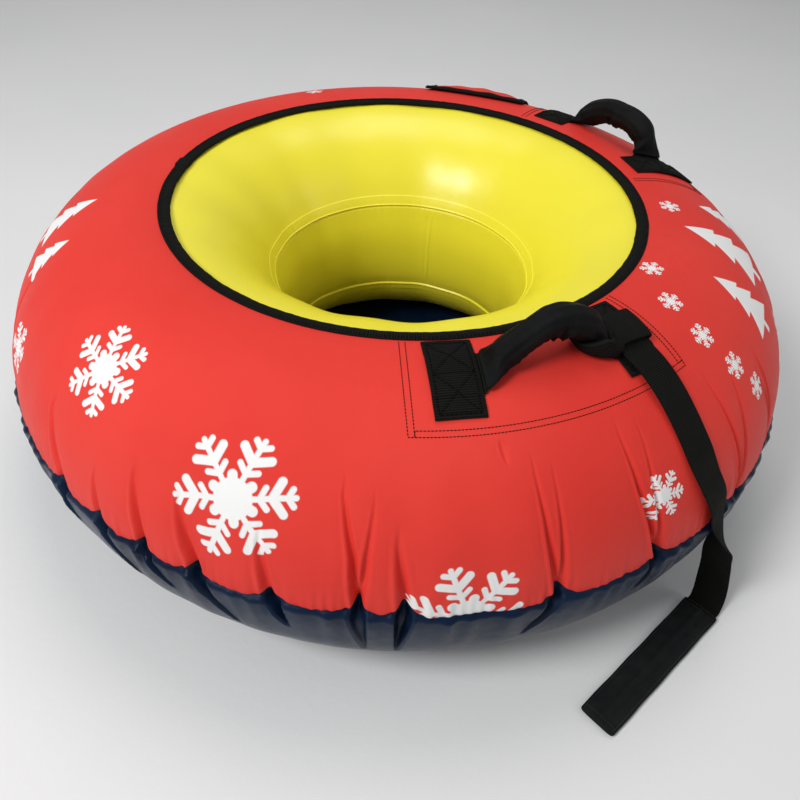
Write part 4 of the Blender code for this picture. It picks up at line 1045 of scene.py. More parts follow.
def print_places(theta, reach):
    """Places in the motifs' own units for a grid of corners: one motif to a face, NO_MOTIF elsewhere."""
    radius = COVER.at(reach)[0]
    middle_theta = (theta[:-1, :-1] + theta[1:, 1:]) / 2
    middle_reach = (reach[:-1, :-1] + reach[1:, 1:]) / 2
    middle_radius = COVER.at(middle_reach)[0]
    nearest = np.full(middle_theta.shape, MOTIF_REACH)
    chosen = np.full(middle_theta.shape, -1)
    for index, (_, angle, place, size, _) in enumerate(PRINTS):
        x = angle_gap(middle_theta, angle) * middle_radius
        away = np.hypot(x, middle_reach - place) / size
        closer = away < nearest
        nearest = np.where(closer, away, nearest)
        chosen = np.where(closer, index, chosen)
    corners = []
    rows, columns = middle_theta.shape
    for down, right in ((0, 0), (1, 0), (1, 1), (0, 1)):
        window = (slice(down, down + rows), slice(right, right + columns))
        result = np.full((rows, columns, 2), NO_MOTIF)
        for index, (kind, angle, place, size, turn) in enumerate(PRINTS):
            mask = chosen == index
            x = angle_gap(theta[window], angle) * radius[window]
            y = place - reach[window]
            cosine, sine = math.cos(math.radians(turn)), math.sin(math.radians(turn))
            turned_x = (x * cosine + y * sine) / size
            turned_y = (y * cosine - x * sine) / size
            if kind == "tree":
                turned_x = turned_x + TREE_SHIFT
            result[mask] = np.stack([turned_x, turned_y], -1)[mask]
        corners.append(result)
    return np.stack(corners, 2)


# Covers

VALVE_SEAT = np.array((0.10432, 0.38934, 0.31840))
VALVE_AXIS = np.array((0.12544, 0.46814, 0.87470))
WINDOW_RADIUS = 0.030
# Points this close to the window's edge are moved onto it. Behind FAR_SIDE they are across the tube.
WINDOW_SNAP = 0.0013
FAR_SIDE = -0.05
# Rows of the cover's hem, from its outer edge inwards: (depth under the cover's face, distance past the seam)
COVER_HEM = ((0.0007, 0.0004), (0.0016, 0.0006), (0.0030, -0.0012), (0.0036, -0.0040))
# Radii at which lengths round the tube are counted in the UV layers of the cloth
CLOTH_RADIUS = 0.42
BACKING_RADIUS = 0.36


def off_valve(points):
    """Distances of points from the valve's axis and along it."""
    away = points - VALVE_SEAT
    along = away @ VALVE_AXIS
    return np.linalg.norm(away - along[..., None] * VALVE_AXIS, axis=-1), along


def make_top_cover():
    """The red cover with its folds, a hem along the seam and a window over the valve."""
    columns = 2400
    theta = ring_angles(columns)
    reach = np.concatenate([np.linspace(0, 0.14, 50, endpoint=False), np.linspace(0.14, SEAM_REACH, 76)])
    theta_grid, reach_grid = np.meshgrid(theta, reach)
    points = cover_point(theta_grid, reach_grid)
    hem = []
    for depth, past in COVER_HEM:
        hem.append(cover_point(theta, np.full(columns, SEAM_REACH + past), lift=-depth))
    points = np.concatenate([points, np.array(hem)])
    distance, along = off_valve(points)
    near = (np.abs(distance - WINDOW_RADIUS) < WINDOW_SNAP) & (along > FAR_SIDE)
    away = points - VALVE_SEAT - (points - VALVE_SEAT) @ VALVE_AXIS[:, None] * VALVE_AXIS
    pull = (WINDOW_RADIUS / np.maximum(distance, 1e-6) - 1)[..., None] * away
    points = np.where(near[..., None], points + pull, points)
    all_reach = np.concatenate([reach, SEAM_REACH + np.array((0.0004, 0.0006, 0.0007, 0.0008))])
    corner_theta, corner_reach = corner_grid(theta, all_reach)
    fabric = np.stack([corner_theta * CLOTH_RADIUS, corner_reach], -1)

    def keep(centres):
        away_from_valve, height = off_valve(centres)
        return (away_from_valve > WINDOW_RADIUS) | (height < FAR_SIDE)

    mesh = grid_mesh(points, around=True, uvs={"fabric": fabric}, keep=keep)
    drop_loose(mesh)
    places = print_places(corner_theta, corner_reach)
    places[len(reach) - 1 :] = NO_MOTIF
    beside = np.roll(points, -1, 1)
    centres = points[:-1] + beside[:-1] + points[1:] + beside[1:]
    chosen = keep(centres.reshape(-1, 3) / 4)
    layer = mesh.uv_layers.new(name="print")
    layer.data.foreach_set("uv", places.reshape(-1, 4, 2)[chosen].reshape(-1).astype(np.float32))
    return piece("top_cover_fabric", mesh, red_fabric, "tube", ["top_cover"])


# How far the base runs up behind the cover, the radius at which its tucks' widths count, and its flat
# middle's rings as shares of the middle's radius
BASE_LAP = 0.0105
TUCK_RADIUS = 0.47
BASE_RINGS = np.array((0.92, 0.82, 0.70, 0.62, 0.56, 0.50, 0.44, 0.38, 0.30, 0.20, 0.10, 0.0))


def base_tucks(theta, down):
    """The dark leaf-shaped tucks that run down from the cover's notches, 0 to 1, and their raised edges."""
    tucks, edges = np.zeros(down.shape), np.zeros(down.shape)
    for angle in NOTCHES:
        front = bell((angle + 90 + 180) % 360 - 180, 55)
        lean = 0.65 * math.sin(angle * 7.0) * (1 - front) - 1.9 * math.sin(math.radians(angle + 90)) * front
        length = 0.068 + 0.024 * math.cos(angle * 5.0)
        share = np.clip(down / length, 0, 1)
        away = angle_gap(theta, angle) * TUCK_RADIUS - lean * down
        half_width = 0.0095 * (1 - share) ** 0.8
        fade = ease(share / 0.08) * ease((1 - share) / 0.15)
        deep = 0.72 + 0.28 * math.cos(angle * 3.0)
        tucks = np.maximum(tucks, deep * fade * ease((half_width - np.abs(away)) / 0.0042))
        side = 1 if lean > 0 else -1
        edges += fade * bell(side * away + half_width + 0.0016, 0.0013)
    return tucks, edges


def base_point(theta, reach, profile):
    """Points on the glossy base: tucked in under the cover's notches and puffed out between them."""
    radius, height, out, up = profile.at(reach)
    down = np.maximum(reach - BASE_LAP, 0) + np.zeros(np.broadcast(theta, reach).shape)
    below = ease(down / 0.010)
    tucks, edges = base_tucks(theta, down)
    inside = 0.0024 + fold_depth(theta, np.array(SEAM_REACH)) * bell(down, 0.014)
    fading = bell(down, 0.060)
    creases = (0.0085 * tucks - 0.0014 * edges) * below
    puffs = 0.0062 * below * (1 - tucks) * fading
    pleats = 0.0014 * ripples(theta, reach, 0.020, 30, 10, 21) * below * bell(down, 0.045)
    uneven = 0.6 + 0.6 * ripples(theta, reach, 0.065, 9, 9, 33)
    slow = 0.0022 * uneven * below * bell(down, 0.110)
    settle = 1 - ease((down - 0.03) / 0.06)
    flat = ease((down - 0.185) / 0.05)
    off = (-inside * settle - 0.0003 - creases + puffs + pleats + slow) * (1 - flat) - 0.0003 * flat
    return round_points(theta, radius + out * off, np.maximum(height + up * off, 0.0002))


def make_base():
    """The glossy dish, down from behind the seam, with its flat middle on the floor."""
    profile = Profile(*section_point(np.linspace(7.5, -90, 500), COVER_WALL + TOUCH_GAP))
    total = profile.reach[-1]
    theta = ring_angles(1800)
    reach = np.concatenate([np.linspace(0, 0.10, 56, endpoint=False), np.linspace(0.10, total, 36)])
    rows = [base_point(*np.meshgrid(theta, reach), profile)]
    edge_radius = np.hypot(rows[0][-1, :, 0], rows[0][-1, :, 1])
    for share in BASE_RINGS:
        uneven = 1 + ripples(theta, share, 0.09, 3, 6, 4)
        slack = 0.0016 * math.sin(math.pi * min(share / 0.75, 1)) * uneven
        rows.append(round_points(theta, edge_radius * share, 0.0003 + np.maximum(slack, 0))[None])
    corner_theta, corner_reach = corner_grid(theta, np.concatenate([reach, total + (1 - BASE_RINGS) * 0.315]))
    fabric = np.stack([corner_theta * CLOTH_RADIUS, corner_reach], -1)
    mesh = grid_mesh(np.concatenate(rows), around=True, uvs={"fabric": fabric})
    return piece("base_sheet", mesh, dark_base, "tube", ["bottom_cover"])


def weld_bead(away):
    """A welded band with a thin bead and a pressed line at its lower edge."""
    band = ease((away + 0.0145) / 0.0012) * (1 - ease((away + 0.0006) / 0.0010))
    bead = bell(away, 0.0011)
    pressed = bell(away - 0.0022, 0.0011)
    return 0.0008 * band + 0.0014 * bead - 0.0012 * pressed


# Within WELD_REACH of its welded rings the inner tube's rows lie close together
WELD_REACH = 0.016
FINE_STEP = 0.00042
COARSE_STEP = 0.0032
JOIN_ANGLE = 75.5
VINYL_RADIUS = 0.25
VALVE_FLAT_RADIUS = 0.058


def weld_reaches(profile, angles):
    """How far along the inner tube's section its upper and its lower welded ring are."""
    hole_side = (angles > 95) & (angles < 265)
    order = np.argsort(profile.height[hole_side])
    rising = profile.height[hole_side][order], profile.reach[hole_side][order]
    return [float(np.interp(height, *rising)) for height in (UPPER_WELD_HEIGHT, LOWER_WELD_HEIGHT)]


def vinyl_rows(profile, welds):
    """Distances along the section at which the inner tube has a row of points."""
    crown, foot = profile.reach[400], profile.reach[1200]
    fine = [np.arange(weld - WELD_REACH, weld + WELD_REACH, FINE_STEP) for weld in welds]
    before = np.linspace(0, crown, 50, endpoint=False)
    after = np.linspace(foot, profile.reach[-1], 50)
    coarse = np.concatenate([before, np.arange(crown, foot, COARSE_STEP), after])
    clear = np.ones(len(coarse), bool)
    for weld in welds:
        clear &= np.abs(coarse - weld) > WELD_REACH + 0.0008
    return np.sort(np.concatenate([coarse[clear], *fine]))


def vinyl_relief(theta, reach, radius, welds):
    """How far the inner tube's face stands out at its welds and puckers, and in slow waves."""
    off = np.zeros(theta.shape)
    for weld, side, seed in zip(welds, (1, -1), (41, 43)):
        away = reach - weld
        off += weld_bead(side * away) + side * 0.0012 * bell(away, 0.014)
        off += 0.00016 * ripples(theta, reach, 0.024, 25, 8, seed) * bell(away, 0.016)
    upper, lower = welds
    between = ease((reach - upper - 0.010) / 0.012) * ease((lower - 0.012 - reach) / 0.020)
    join = angle_gap(theta, JOIN_ANGLE) * radius
    off += between * (0.0006 * bell(join, 0.0013) - 0.0004 * bell(np.abs(join) - 0.0042, 0.0020))
    return off + 0.0010 * ripples(theta, reach, 0.16, 8, 7, 47)


def make_vinyl_tube():
    """The inner tube: welded rings round its hole, a welded join up the hole's side and small puckers."""
    angles = np.linspace(0, 360, 1601)
    profile = Profile(*section_point(angles, TUBE_INSET, COVER_WALL + TOUCH_GAP))
    profile.out, profile.up = -profile.out, -profile.up
    welds = weld_reaches(profile, angles)
    theta = ring_angles(960)
    reach = vinyl_rows(profile, welds)
    theta_grid, reach_grid = np.meshgrid(theta, reach)
    radius, height, out, up = profile.at(reach_grid)
    off = vinyl_relief(theta_grid, reach_grid, radius, welds)
    # the outer side keeps clear of the cover's folds
    seam_pull = bell(height - SEAM_HEIGHT, np.where(height > SEAM_HEIGHT, 0.055, 0.075))
    upper_pull = ease((0.318 - height) / 0.040) * ease((height - 0.05) / 0.04)
    drawn = (0.0130 * seam_pull + 0.0090 * upper_pull) * ease(height / 0.02)
    drawn = np.where(radius > SECTION_RADIUS, drawn, 0)
    points = round_points(theta_grid, radius + out * off - drawn, height + up * off)
    # flattened where the valve is welded on
    distance, along = off_valve(points)
    flat = ease((VALVE_FLAT_RADIUS - distance) / 0.026) * (np.abs(along) < 0.03)
    points = points - (flat * (along + 0.0001))[..., None] * VALVE_AXIS
    corner_theta, corner_reach = corner_grid(theta, reach)
    fabric = np.stack([corner_theta * VINYL_RADIUS, corner_reach], -1)
    mesh = grid_mesh(points, around=True, flip=True, uvs={"fabric": fabric})
    return piece("inner_tube_vinyl", mesh, yellow_vinyl, "tube", ["inner_tube"])


def beside_opening(radius, lift):
    """(radius, height) beside the cover's edge, a lift square to it."""
    edge = np.array((OPENING_RADIUS, float(cover_height(OPENING_RADIUS))))
    crown = np.array((SECTION_RADIUS, CROWN_HEIGHT))
    inwards = (edge - crown) / np.linalg.norm(edge - crown)
    square = np.array((inwards[1], -inwards[0]))
    return edge + inwards * (edge[0] - np.asarray(radius))[:, None] + square * np.asarray(lift)[:, None]


def make_binding():
    """Tape folded over the edge of the cover, slightly uneven, with its two rows of stitches."""
    theta = ring_angles(1440)
    top, bottom = TOUCH_GAP + BINDING_WALL + 0.0002, -COVER_WALL - TOUCH_GAP - BINDING_WALL
    outer, inner, binding_radius = 0.3004, 0.2861, 0.293
    lap_angle = 170.5
    radii = [
        outer, outer + 0.0004, outer + 0.0002, 0.2980, 0.2948, 0.2912, 0.2885, 0.2869,
        inner, 0.2858, inner, 0.2869, 0.2890, 0.2932, 0.2975, outer,
    ]
    lifts = [
        0.0, 0.0006, top - 0.0003, top, top + 0.0002, top + 0.0002, top, top - 0.0006,
        top - 0.0016, (top + bottom) / 2, bottom + 0.0012, bottom + 0.0004,
        bottom, bottom, bottom, bottom + 0.0010,
    ]
    ring = beside_opening(radii, lifts)
    ring = np.concatenate([ring, ring[:1]])
    wobble = 0.00022 * ripples(theta, 0, 0.030, 0, 8, 51) + 0.00045 * ripples(theta, 0, 0.11, 0, 5, 52)
    rise = 0.00018 * ripples(theta, 0, 0.022, 0, 8, 53)
    along_lap = angle_gap(theta, lap_angle) * binding_radius
    lap = ease((along_lap + 0.013) / 0.0013) * ease((0.011 - along_lap) / 0.006)
    share = (outer - ring[:, 0]) / (outer - inner)
    radius = ring[:, 0][:, None] + wobble[None] * np.where(share > 0.2, 1, 0.3)[:, None]
    radius = radius + 0.0011 * lap[None] * (1 - 2 * share)[:, None]
    raised = (ring[:, 1] > float(cover_height(OPENING_RADIUS)) - 0.002)[:, None]
    height = ring[:, 1][:, None] + (rise + 0.0012 * lap)[None] * raised
    corner_theta, corner_step = corner_grid(theta, lengths_along(ring))
    fabric = np.stack([corner_step, corner_theta * binding_radius], -1)
    mesh = grid_mesh(round_points(theta, radius, height), around=True, flip=True, uvs={"fabric": fabric})
    tape = piece("opening_binding_tape", mesh, binding_tape, "tube", ["opening_binding"])
    lines = []
    turn = np.linspace(-math.pi, math.pi, 1201)
    for stitch_radius in (0.2986, 0.2962):
        spot = beside_opening([stitch_radius], [top + 0.0002])[0]
        lines.append(upright(round_points(turn, spot[0], np.full(len(turn), spot[1]))))
    stitches = stitch_mesh(lines, 0.0042, thread=0.00034)
    piece("opening_binding_stitches", stitches, grey_thread, "tube")
    return tape


def make_reinforcement(name, node, first, last):
    """Backing cloth that lies under the cover behind a handle."""
    theta = np.radians(np.linspace(first, last, 60))
    theta_grid, reach_grid = np.meshgrid(theta, np.linspace(0.024, 0.112, 40))
    points = cover_point(theta_grid, reach_grid, lift=-COVER_WALL - 0.0004)
    mesh = grid_mesh(points, uvs={"fabric": np.stack([theta_grid * BACKING_RADIUS, reach_grid], -1)})
    return piece(name, mesh, backing_fabric, "tube", [node])


def cover_line(corners):
    """Points and normals of a line on the cover through (angle, distance from the opening) corners."""
    spacing = 0.004
    places = []
    for (angle, reach), (next_angle, next_reach) in zip(corners, corners[1:]):
        radius = float(COVER.at((reach + next_reach) / 2)[0])
        length = math.hypot(math.radians(next_angle - angle) * radius, next_reach - reach)
        count = max(int(length / spacing), 2)
        for share in np.linspace(0, 1, count, endpoint=False):
            places.append((angle + (next_angle - angle) * share, reach + (next_reach - reach) * share))
    places.append(corners[-1])
    places = np.array(places)
    theta, reach = np.radians(places[:, 0]), places[:, 1]
    points = cover_point(theta, reach, lift=0.0002)
    _, _, out, up = COVER.at(reach)
    normals = np.stack([out * np.cos(theta), out * np.sin(theta), up], 1)
    return points, normals


def box_corners(left, right, inner_reach, outer_reach, radii, shift, overrun):
    """Corners of one row of stitches: out from the opening, round behind the handle and back in.

    left and right are angles at the opening and outside, radii the same for the shift inwards. With overrun
    the row runs on to the outermost row at its outer corners.
    """
    turn_in, turn_out = [math.degrees(shift / radius) for radius in radii]
    first, last = left[1] + turn_out, right[1] - turn_out
    level = outer_reach - shift
    corners = [(left[0] + turn_in, inner_reach)]
    if overrun:
        corners.append((first, outer_reach))
    for share in np.linspace(0, 1, 15)[:-1]:
        corners.append((first + (last - first) * share, level))
    if overrun:
        corners.append((right[1], level))
    return [*corners, (last, level), (right[0] - turn_in, inner_reach)]


def make_cover_stitches():
    """Double rows of stitches round the backing of each handle."""
    boxes = (
        ((-89.9, -88.2), (-43.4, -45.1), 0.0085, reach_at_radius(0.4085), (0.303, 0.408), True),
        ((11.2, 11.2), (56.3, 57.0), 0.0130, reach_at_radius(0.4110), (0.308, 0.410), False),
    )
    lines = []
    for *sides, radii, overrun in boxes:
        for shift in (0.0, 0.0060):
            lines.append(cover_line(box_corners(*sides, radii, shift, overrun)))
    mesh = stitch_mesh(lines, 0.0034, share=0.84, thread=0.00048)
    return piece("cover_stitches", mesh, dark_thread, "tube")


make_top_cover()
make_base()
make_vinyl_tube()
make_binding()
make_reinforcement("front_backing_cloth", "front_reinforcement", -89.5, -45.5)
make_reinforcement("rear_backing_cloth", "rear_reinforcement", 10.5, 54.5)
make_cover_stitches()


# Handles

PATCH_WIDTH = 0.047
PATCH_LENGTH = 0.091
TAIL_LENGTH = 0.036
STRAP_WIDTH = 0.046
STRAP_EXIT = 0.003
FOLDED_STRAP_WIDTH = 0.0240
SLEEVE_RADIUS = 0.0165
SLEEVE_END_RADIUS = 0.0140
SLEEVE_TAPER = 0.014
SLEEVE_WALL = 0.0012
CUFF_START = 0.005
CUFF_LENGTH = 0.020
CUFF_HALF_WIDTH = 0.0235
CUFF_HALF_HEIGHT = 0.0045
FOAM_GAP = 0.0022
SLOT_HALF_WIDTH = 0.0146
SLOT_HALF_HEIGHT = 0.0030
# Each handle: radius of its patches, (angle, heading) of each patch, shift of the feet along the patches,
# rise of its arch and the powers of the arch's two halves
FRONT_HANDLE = (0.349, ((-81.3, -80.5), (-51.0, -56.0)), 0.0, 0.040, (1.25, 2.40))
REAR_HANDLE = (0.366, ((19.0, 17.5), (49.7, 51.0)), 0.002, 0.0380, (4.60, 1.60))


def patch_frame(radius, angle, heading):
    """Centre of a patch in plan, the direction of its length and the direction across it."""
    centre = direction(angle) * radius
    along = direction(heading)
    return centre, along, Vector((-along.y, along.x, 0))


class Arch:
    """The middle line of a handle, which stands upright from one foot to the other."""

    def __init__(self, radius, patches, foot_shift, rise, powers):
        self.rise = rise
        self.powers = powers
        start_centre, start_along, self.start_across = patch_frame(radius, *patches[0])
        end_centre, end_along, self.end_across = patch_frame(radius, *patches[1])
        reach = PATCH_WIDTH / 2 + STRAP_EXIT
        self.start = start_centre + self.start_across * reach - start_along * foot_shift
        self.end = end_centre - self.end_across * reach - end_along * foot_shift
        self.side = (self.end - self.start).normalized().cross(Vector((0, 0, 1)))
        lift = 2 * TOUCH_GAP + WEBBING_WALL / 2
        self.foot = Vector(on_cover(self.start.x, self.start.y, lift))
        self.far_foot = Vector(on_cover(self.end.x, self.end.y, lift))
        self.shares = np.linspace(0, 1, 401)
        points = np.array([self.at_share(share) for share in self.shares])
        self.lengths = lengths_along(points)
        self.length = float(self.lengths[-1])

    def at_share(self, share):
        """Point at a share of the way between the feet."""
        power = self.powers[0] if share < 0.5 else self.powers[1]
        rise = self.rise * (1 - abs(2 * share - 1) ** power)
        return self.foot.lerp(self.far_foot, share) + Vector((0, 0, rise))

    def at(self, distance):
        """(point, side, up) at a distance along the line. At the feet the side turns with the patches."""
        share = float(np.interp(distance, self.lengths, self.shares))
        before, after = self.at_share(max(share - 0.004, 0)), self.at_share(min(share + 0.004, 1))
        tangent = (after - before).normalized()
        near_start = distance < self.length / 2
        across = self.start_across if near_start else self.end_across
        square = cover_normal(self.foot if near_start else self.far_foot)
        foot_side = square.cross(across.cross(square)).cross(square)
        away = min(distance, self.length - distance)
        side = foot_side.lerp(self.side, float(ease(away / (CUFF_START + CUFF_LENGTH)))).normalized()
        return self.at_share(share), side, side.cross(tangent).normalized()


def grip_half_sizes(distance, arch):
    """Half width and half height of a padded sleeve, flat at its ends and round between them."""
    nearest = min(distance, arch.length - distance)
    opened = float(ease((nearest - CUFF_START) / CUFF_LENGTH))
    swell = min(max((nearest - CUFF_START - CUFF_LENGTH) / SLEEVE_TAPER, 0), 1)
    grown = (SLEEVE_RADIUS - SLEEVE_END_RADIUS) * math.sin(swell * math.pi / 2)
    if arch.powers[0] < 1.5:
        grown -= 0.0022 * swell * (1 - float(ease((distance / arch.length - 0.42) / 0.16)))
    half_width = CUFF_HALF_WIDTH + (SLEEVE_END_RADIUS - CUFF_HALF_WIDTH) * opened + grown
    half_height = CUFF_HALF_HEIGHT + (SLEEVE_END_RADIUS - CUFF_HALF_HEIGHT) * opened + grown
    return half_width, half_height


def sleeve_wrinkles(distance, turns, arch, seed):
    """How far the sleeve's folds stand out at places round one ring."""
    random = np.random.default_rng(seed)
    phases = random.uniform(0, FULL_TURN, 6)
    nearest = min(distance, arch.length - distance)
    under = (0.5 - 0.5 * np.sin(turns)) ** 1.6
    inner_bend = float(ease(nearest / 0.03))
    wander = 0.0035 * np.sin(2 * turns + phases[0]) + 0.002 * np.sin(5 * turns + phases[1])
    place = distance + wander
    ridges = np.sin(FULL_TURN * place / 0.0190 + phases[2])
    ridges = ridges + 0.7 * np.sin(FULL_TURN * place / 0.0127 + phases[5])
    swelling = 0.55 + 0.45 * np.sin(FULL_TURN * distance / 0.061 + phases[0])
    ridges = (1 - 1.4 * np.abs(ridges) ** 0.7) * swelling
    kink = (distance - 0.53 * arch.length - 0.004 * np.cos(turns)) / 0.0038
    pinch = bell(kink, 1) - 0.45 * bell(np.abs(kink) - 2.2, 1)
    long_folds = np.sin(3 * turns + 38 * distance + phases[3]) * np.sin(7 * turns - 55 * distance + phases[4])
    seam_away = (turns + math.radians(62) + math.pi) % FULL_TURN - math.pi
    seam = bell(seam_away, 0.10) - 0.5 * bell(seam_away, 0.28)
    puckers = bell(seam_away, 0.45) * np.sin(FULL_TURN * distance / 0.0085 + phases[5])
    return (
        0.0011 * under * ridges * (0.35 + 0.65 * inner_bend) + 0.0008 * long_folds
        - 0.0050 * under * pinch + 0.0010 * seam + 0.0004 * puckers
    )


def make_grip_sleeve(prefix, arch, seed):
    """The padded sleeve of a handle, with its flat ends."""
    turns = ring_turns(72)
    rings = []
    start = CUFF_START - 0.0022
    for distance in np.linspace(start, arch.length - start, 250):
        point, side, up = arch.at(distance)
        half_width, half_height = grip_half_sizes(distance, arch)
        folds = sleeve_wrinkles(distance, turns, arch, seed) * min(half_height / 0.012, 1)
        across = (half_width + folds) * np.cos(turns)
        upwards = (half_height + folds) * np.sin(turns)
        rings.append(np.array(point) + across[:, None] * np.array(side) + upwards[:, None] * np.array(up))
    nodes = [f"{prefix}_sleeve", f"{prefix}_sleeve_end_start", f"{prefix}_sleeve_end_far"]
    mesh = loft_mesh(np.array(rings))
    return piece(f"{prefix}_padded_sleeve", mesh, sleeve_fabric, None, nodes)


def make_foam(prefix, arch):
    """Foam tube in the sleeve, slotted for the folded strap."""
    turns = ring_turns(32)
    start = CUFF_START + CUFF_LENGTH + 0.002
    distances = np.linspace(start, arch.length - start, 40)
    rings = []
    for distances_now, hollow in ((distances, False), (distances[::-1], True)):
        for distance in distances_now:
            point, side, up = arch.at(distance)
            half = grip_half_sizes(distance, arch)[0] - SLEEVE_WALL - FOAM_GAP
            width, height = half, half
            if hollow:
                width, height = min(SLOT_HALF_WIDTH, half - 0.001) * 0.92, SLOT_HALF_HEIGHT
            aside, upwards = np.outer(width * np.cos(turns), side), np.outer(height * np.sin(turns), up)
            rings.append(np.array(point) + aside + upwards)
    rings.append(rings[0])
    mesh = loft_mesh(np.array(rings), caps=False)
    return piece(f"{prefix}_foam", mesh, foam_grey, None, [f"{prefix}_foam_core"])


def band_mesh(rows, ups, wall):
    """A strip with rounded edges: rows of points on its underside and the directions square to it."""
    right = rows[:, -1] + ups[:, -1] * wall / 2 + unit(rows[:, -1] - rows[:, -2]) * wall / 2
    left = rows[:, 0] + ups[:, 0] * wall / 2 + unit(rows[:, 0] - rows[:, 1]) * wall / 2
    ring = np.concatenate([rows + ups * wall, right[:, None], rows[:, ::-1], left[:, None]], 1)
    return loft_mesh(ring)


def on_cover_rows(middles, sides, asides, lifts):
    """Rows of points laid on the cover across middle points in plan, with the cover's normals."""
    plan = middles[:, None, :2] + sides[:, None, :2] * asides[None, :, None]
    points = on_cover(plan[..., 0], plan[..., 1], lifts)
    radius = np.hypot(plan[..., 0], plan[..., 1])
    outwards = (radius - SECTION_RADIUS) / (OUTER_RADIUS - SECTION_RADIUS) ** 2
    upwards = (points[..., 2] - WAIST_HEIGHT) / (CROWN_HEIGHT - WAIST_HEIGHT) ** 2
    normals = np.stack([plan[..., 0] / radius * outwards, plan[..., 1] / radius * outwards, upwards], -1)
    return points, unit(normals)


def make_grip_strap(prefix, arch):
    """One webbing strap, from its tail under one patch to its tail under the other."""
    columns = np.linspace(-1, 1, 17)
    rows, ups = [], []
    for at_end in (False, True):
        foot = arch.end if at_end else arch.start
        across = arch.end_across if at_end else arch.start_across
        away = across if at_end else -across
        side = Vector((across.y, -across.x, 0))
        shares = np.linspace(1, 0, 16)
        middles = np.array([foot + away * TAIL_LENGTH * float(share) for share in shares])
        asides = columns * STRAP_WIDTH / 2
        points, normals = on_cover_rows(middles, np.repeat([side], 16, 0), asides, TOUCH_GAP)
        if at_end:
            points, normals = points[::-1], normals[::-1]
            for distance in np.linspace(0.0035, arch.length - 0.0035, 90):
                point, side, up = [np.array(part) for part in arch.at(distance)]
                nearest = min(distance, arch.length - distance)
                narrowed = float(ease(nearest / (CUFF_START + CUFF_LENGTH))) ** 0.5
                half_width = (STRAP_WIDTH + (FOLDED_STRAP_WIDTH - STRAP_WIDTH) * narrowed) / 2
                rows.append(point - up * WEBBING_WALL / 2 + np.outer(columns * half_width, side))
                ups.append(np.repeat([up], len(columns), 0))
        rows.extend(points)
        ups.extend(normals)
    mesh = band_mesh(np.array(rows), np.array(ups), WEBBING_WALL)
    return piece(f"{prefix}_webbing_strap", mesh, webbing, None, [f"{prefix}_strap"])


def patch_lift(along, aside):
    """Height of a patch's underside over the cover. It lies over the strap's tail, sewn down round it."""
    over_tail = ease((0.0275 - np.abs(along)) / 0.0055)
    edge = ease((PATCH_WIDTH / 2 - np.abs(aside)) / 0.004)
    return 0.0004 + 0.0018 * over_tail * (0.75 + 0.25 * edge) + 0.00025 * np.sin(along * 210 + aside * 60)


def patch_wall(along):
    """The patch is folded double at its outer end."""
    return PATCH_WALL * (0.80 + 0.50 * ease((along - PATCH_LENGTH / 2 + 0.0115) / 0.0015))


def patch_top_point(frame, along, aside, lift):
    """Points and normals on a patch's upper face."""
    centre, lengthwise, across = [np.array(part) for part in frame]
    middles = centre + lengthwise * along[:, None]
    rows, normals = [], []
    for middle, place, beside in zip(middles, along, aside):
        lifts = patch_lift(place, beside) + patch_wall(place) + lift
        spot, normal = on_cover_rows(middle[None], across[None], np.array([beside]), lifts)
        rows.append(spot[0, 0])
        normals.append(normal[0, 0])
    return np.array(rows), np.array(normals)


STITCH_HALF, STITCH_SIDE = PATCH_LENGTH / 2 - 0.0042, PATCH_WIDTH / 2 - 0.0040
PATCH_STITCHES = (
    ((-STITCH_HALF, -STITCH_SIDE), (STITCH_HALF, -STITCH_SIDE)),
    ((STITCH_HALF, -STITCH_SIDE), (STITCH_HALF, STITCH_SIDE)),
    ((STITCH_HALF, STITCH_SIDE), (-STITCH_HALF, STITCH_SIDE)),
    ((-STITCH_HALF, STITCH_SIDE), (-STITCH_HALF, -STITCH_SIDE)),
    ((0, -STITCH_SIDE), (0, STITCH_SIDE)),
    ((0, -STITCH_SIDE), (STITCH_HALF, STITCH_SIDE)),
    ((0, STITCH_SIDE), (STITCH_HALF, -STITCH_SIDE)),
    ((0, -STITCH_SIDE), (-STITCH_HALF, STITCH_SIDE)),
    ((0, STITCH_SIDE), (-STITCH_HALF, -STITCH_SIDE)),
)


def stitch_grooves(along, aside):
    """How far a patch is pressed in along its rows of stitches, 0 to 1."""
    pressed = np.zeros(np.broadcast(along, aside).shape)
    for first, last in PATCH_STITCHES:
        run = np.subtract(last, first)
        share = np.clip(((along - first[0]) * run[0] + (aside - first[1]) * run[1]) / (run @ run), 0, 1)
        away = np.hypot(along - first[0] - share * run[0], aside - first[1] - share * run[1])
        pressed = np.maximum(pressed, bell(away, 0.0012))
    return pressed


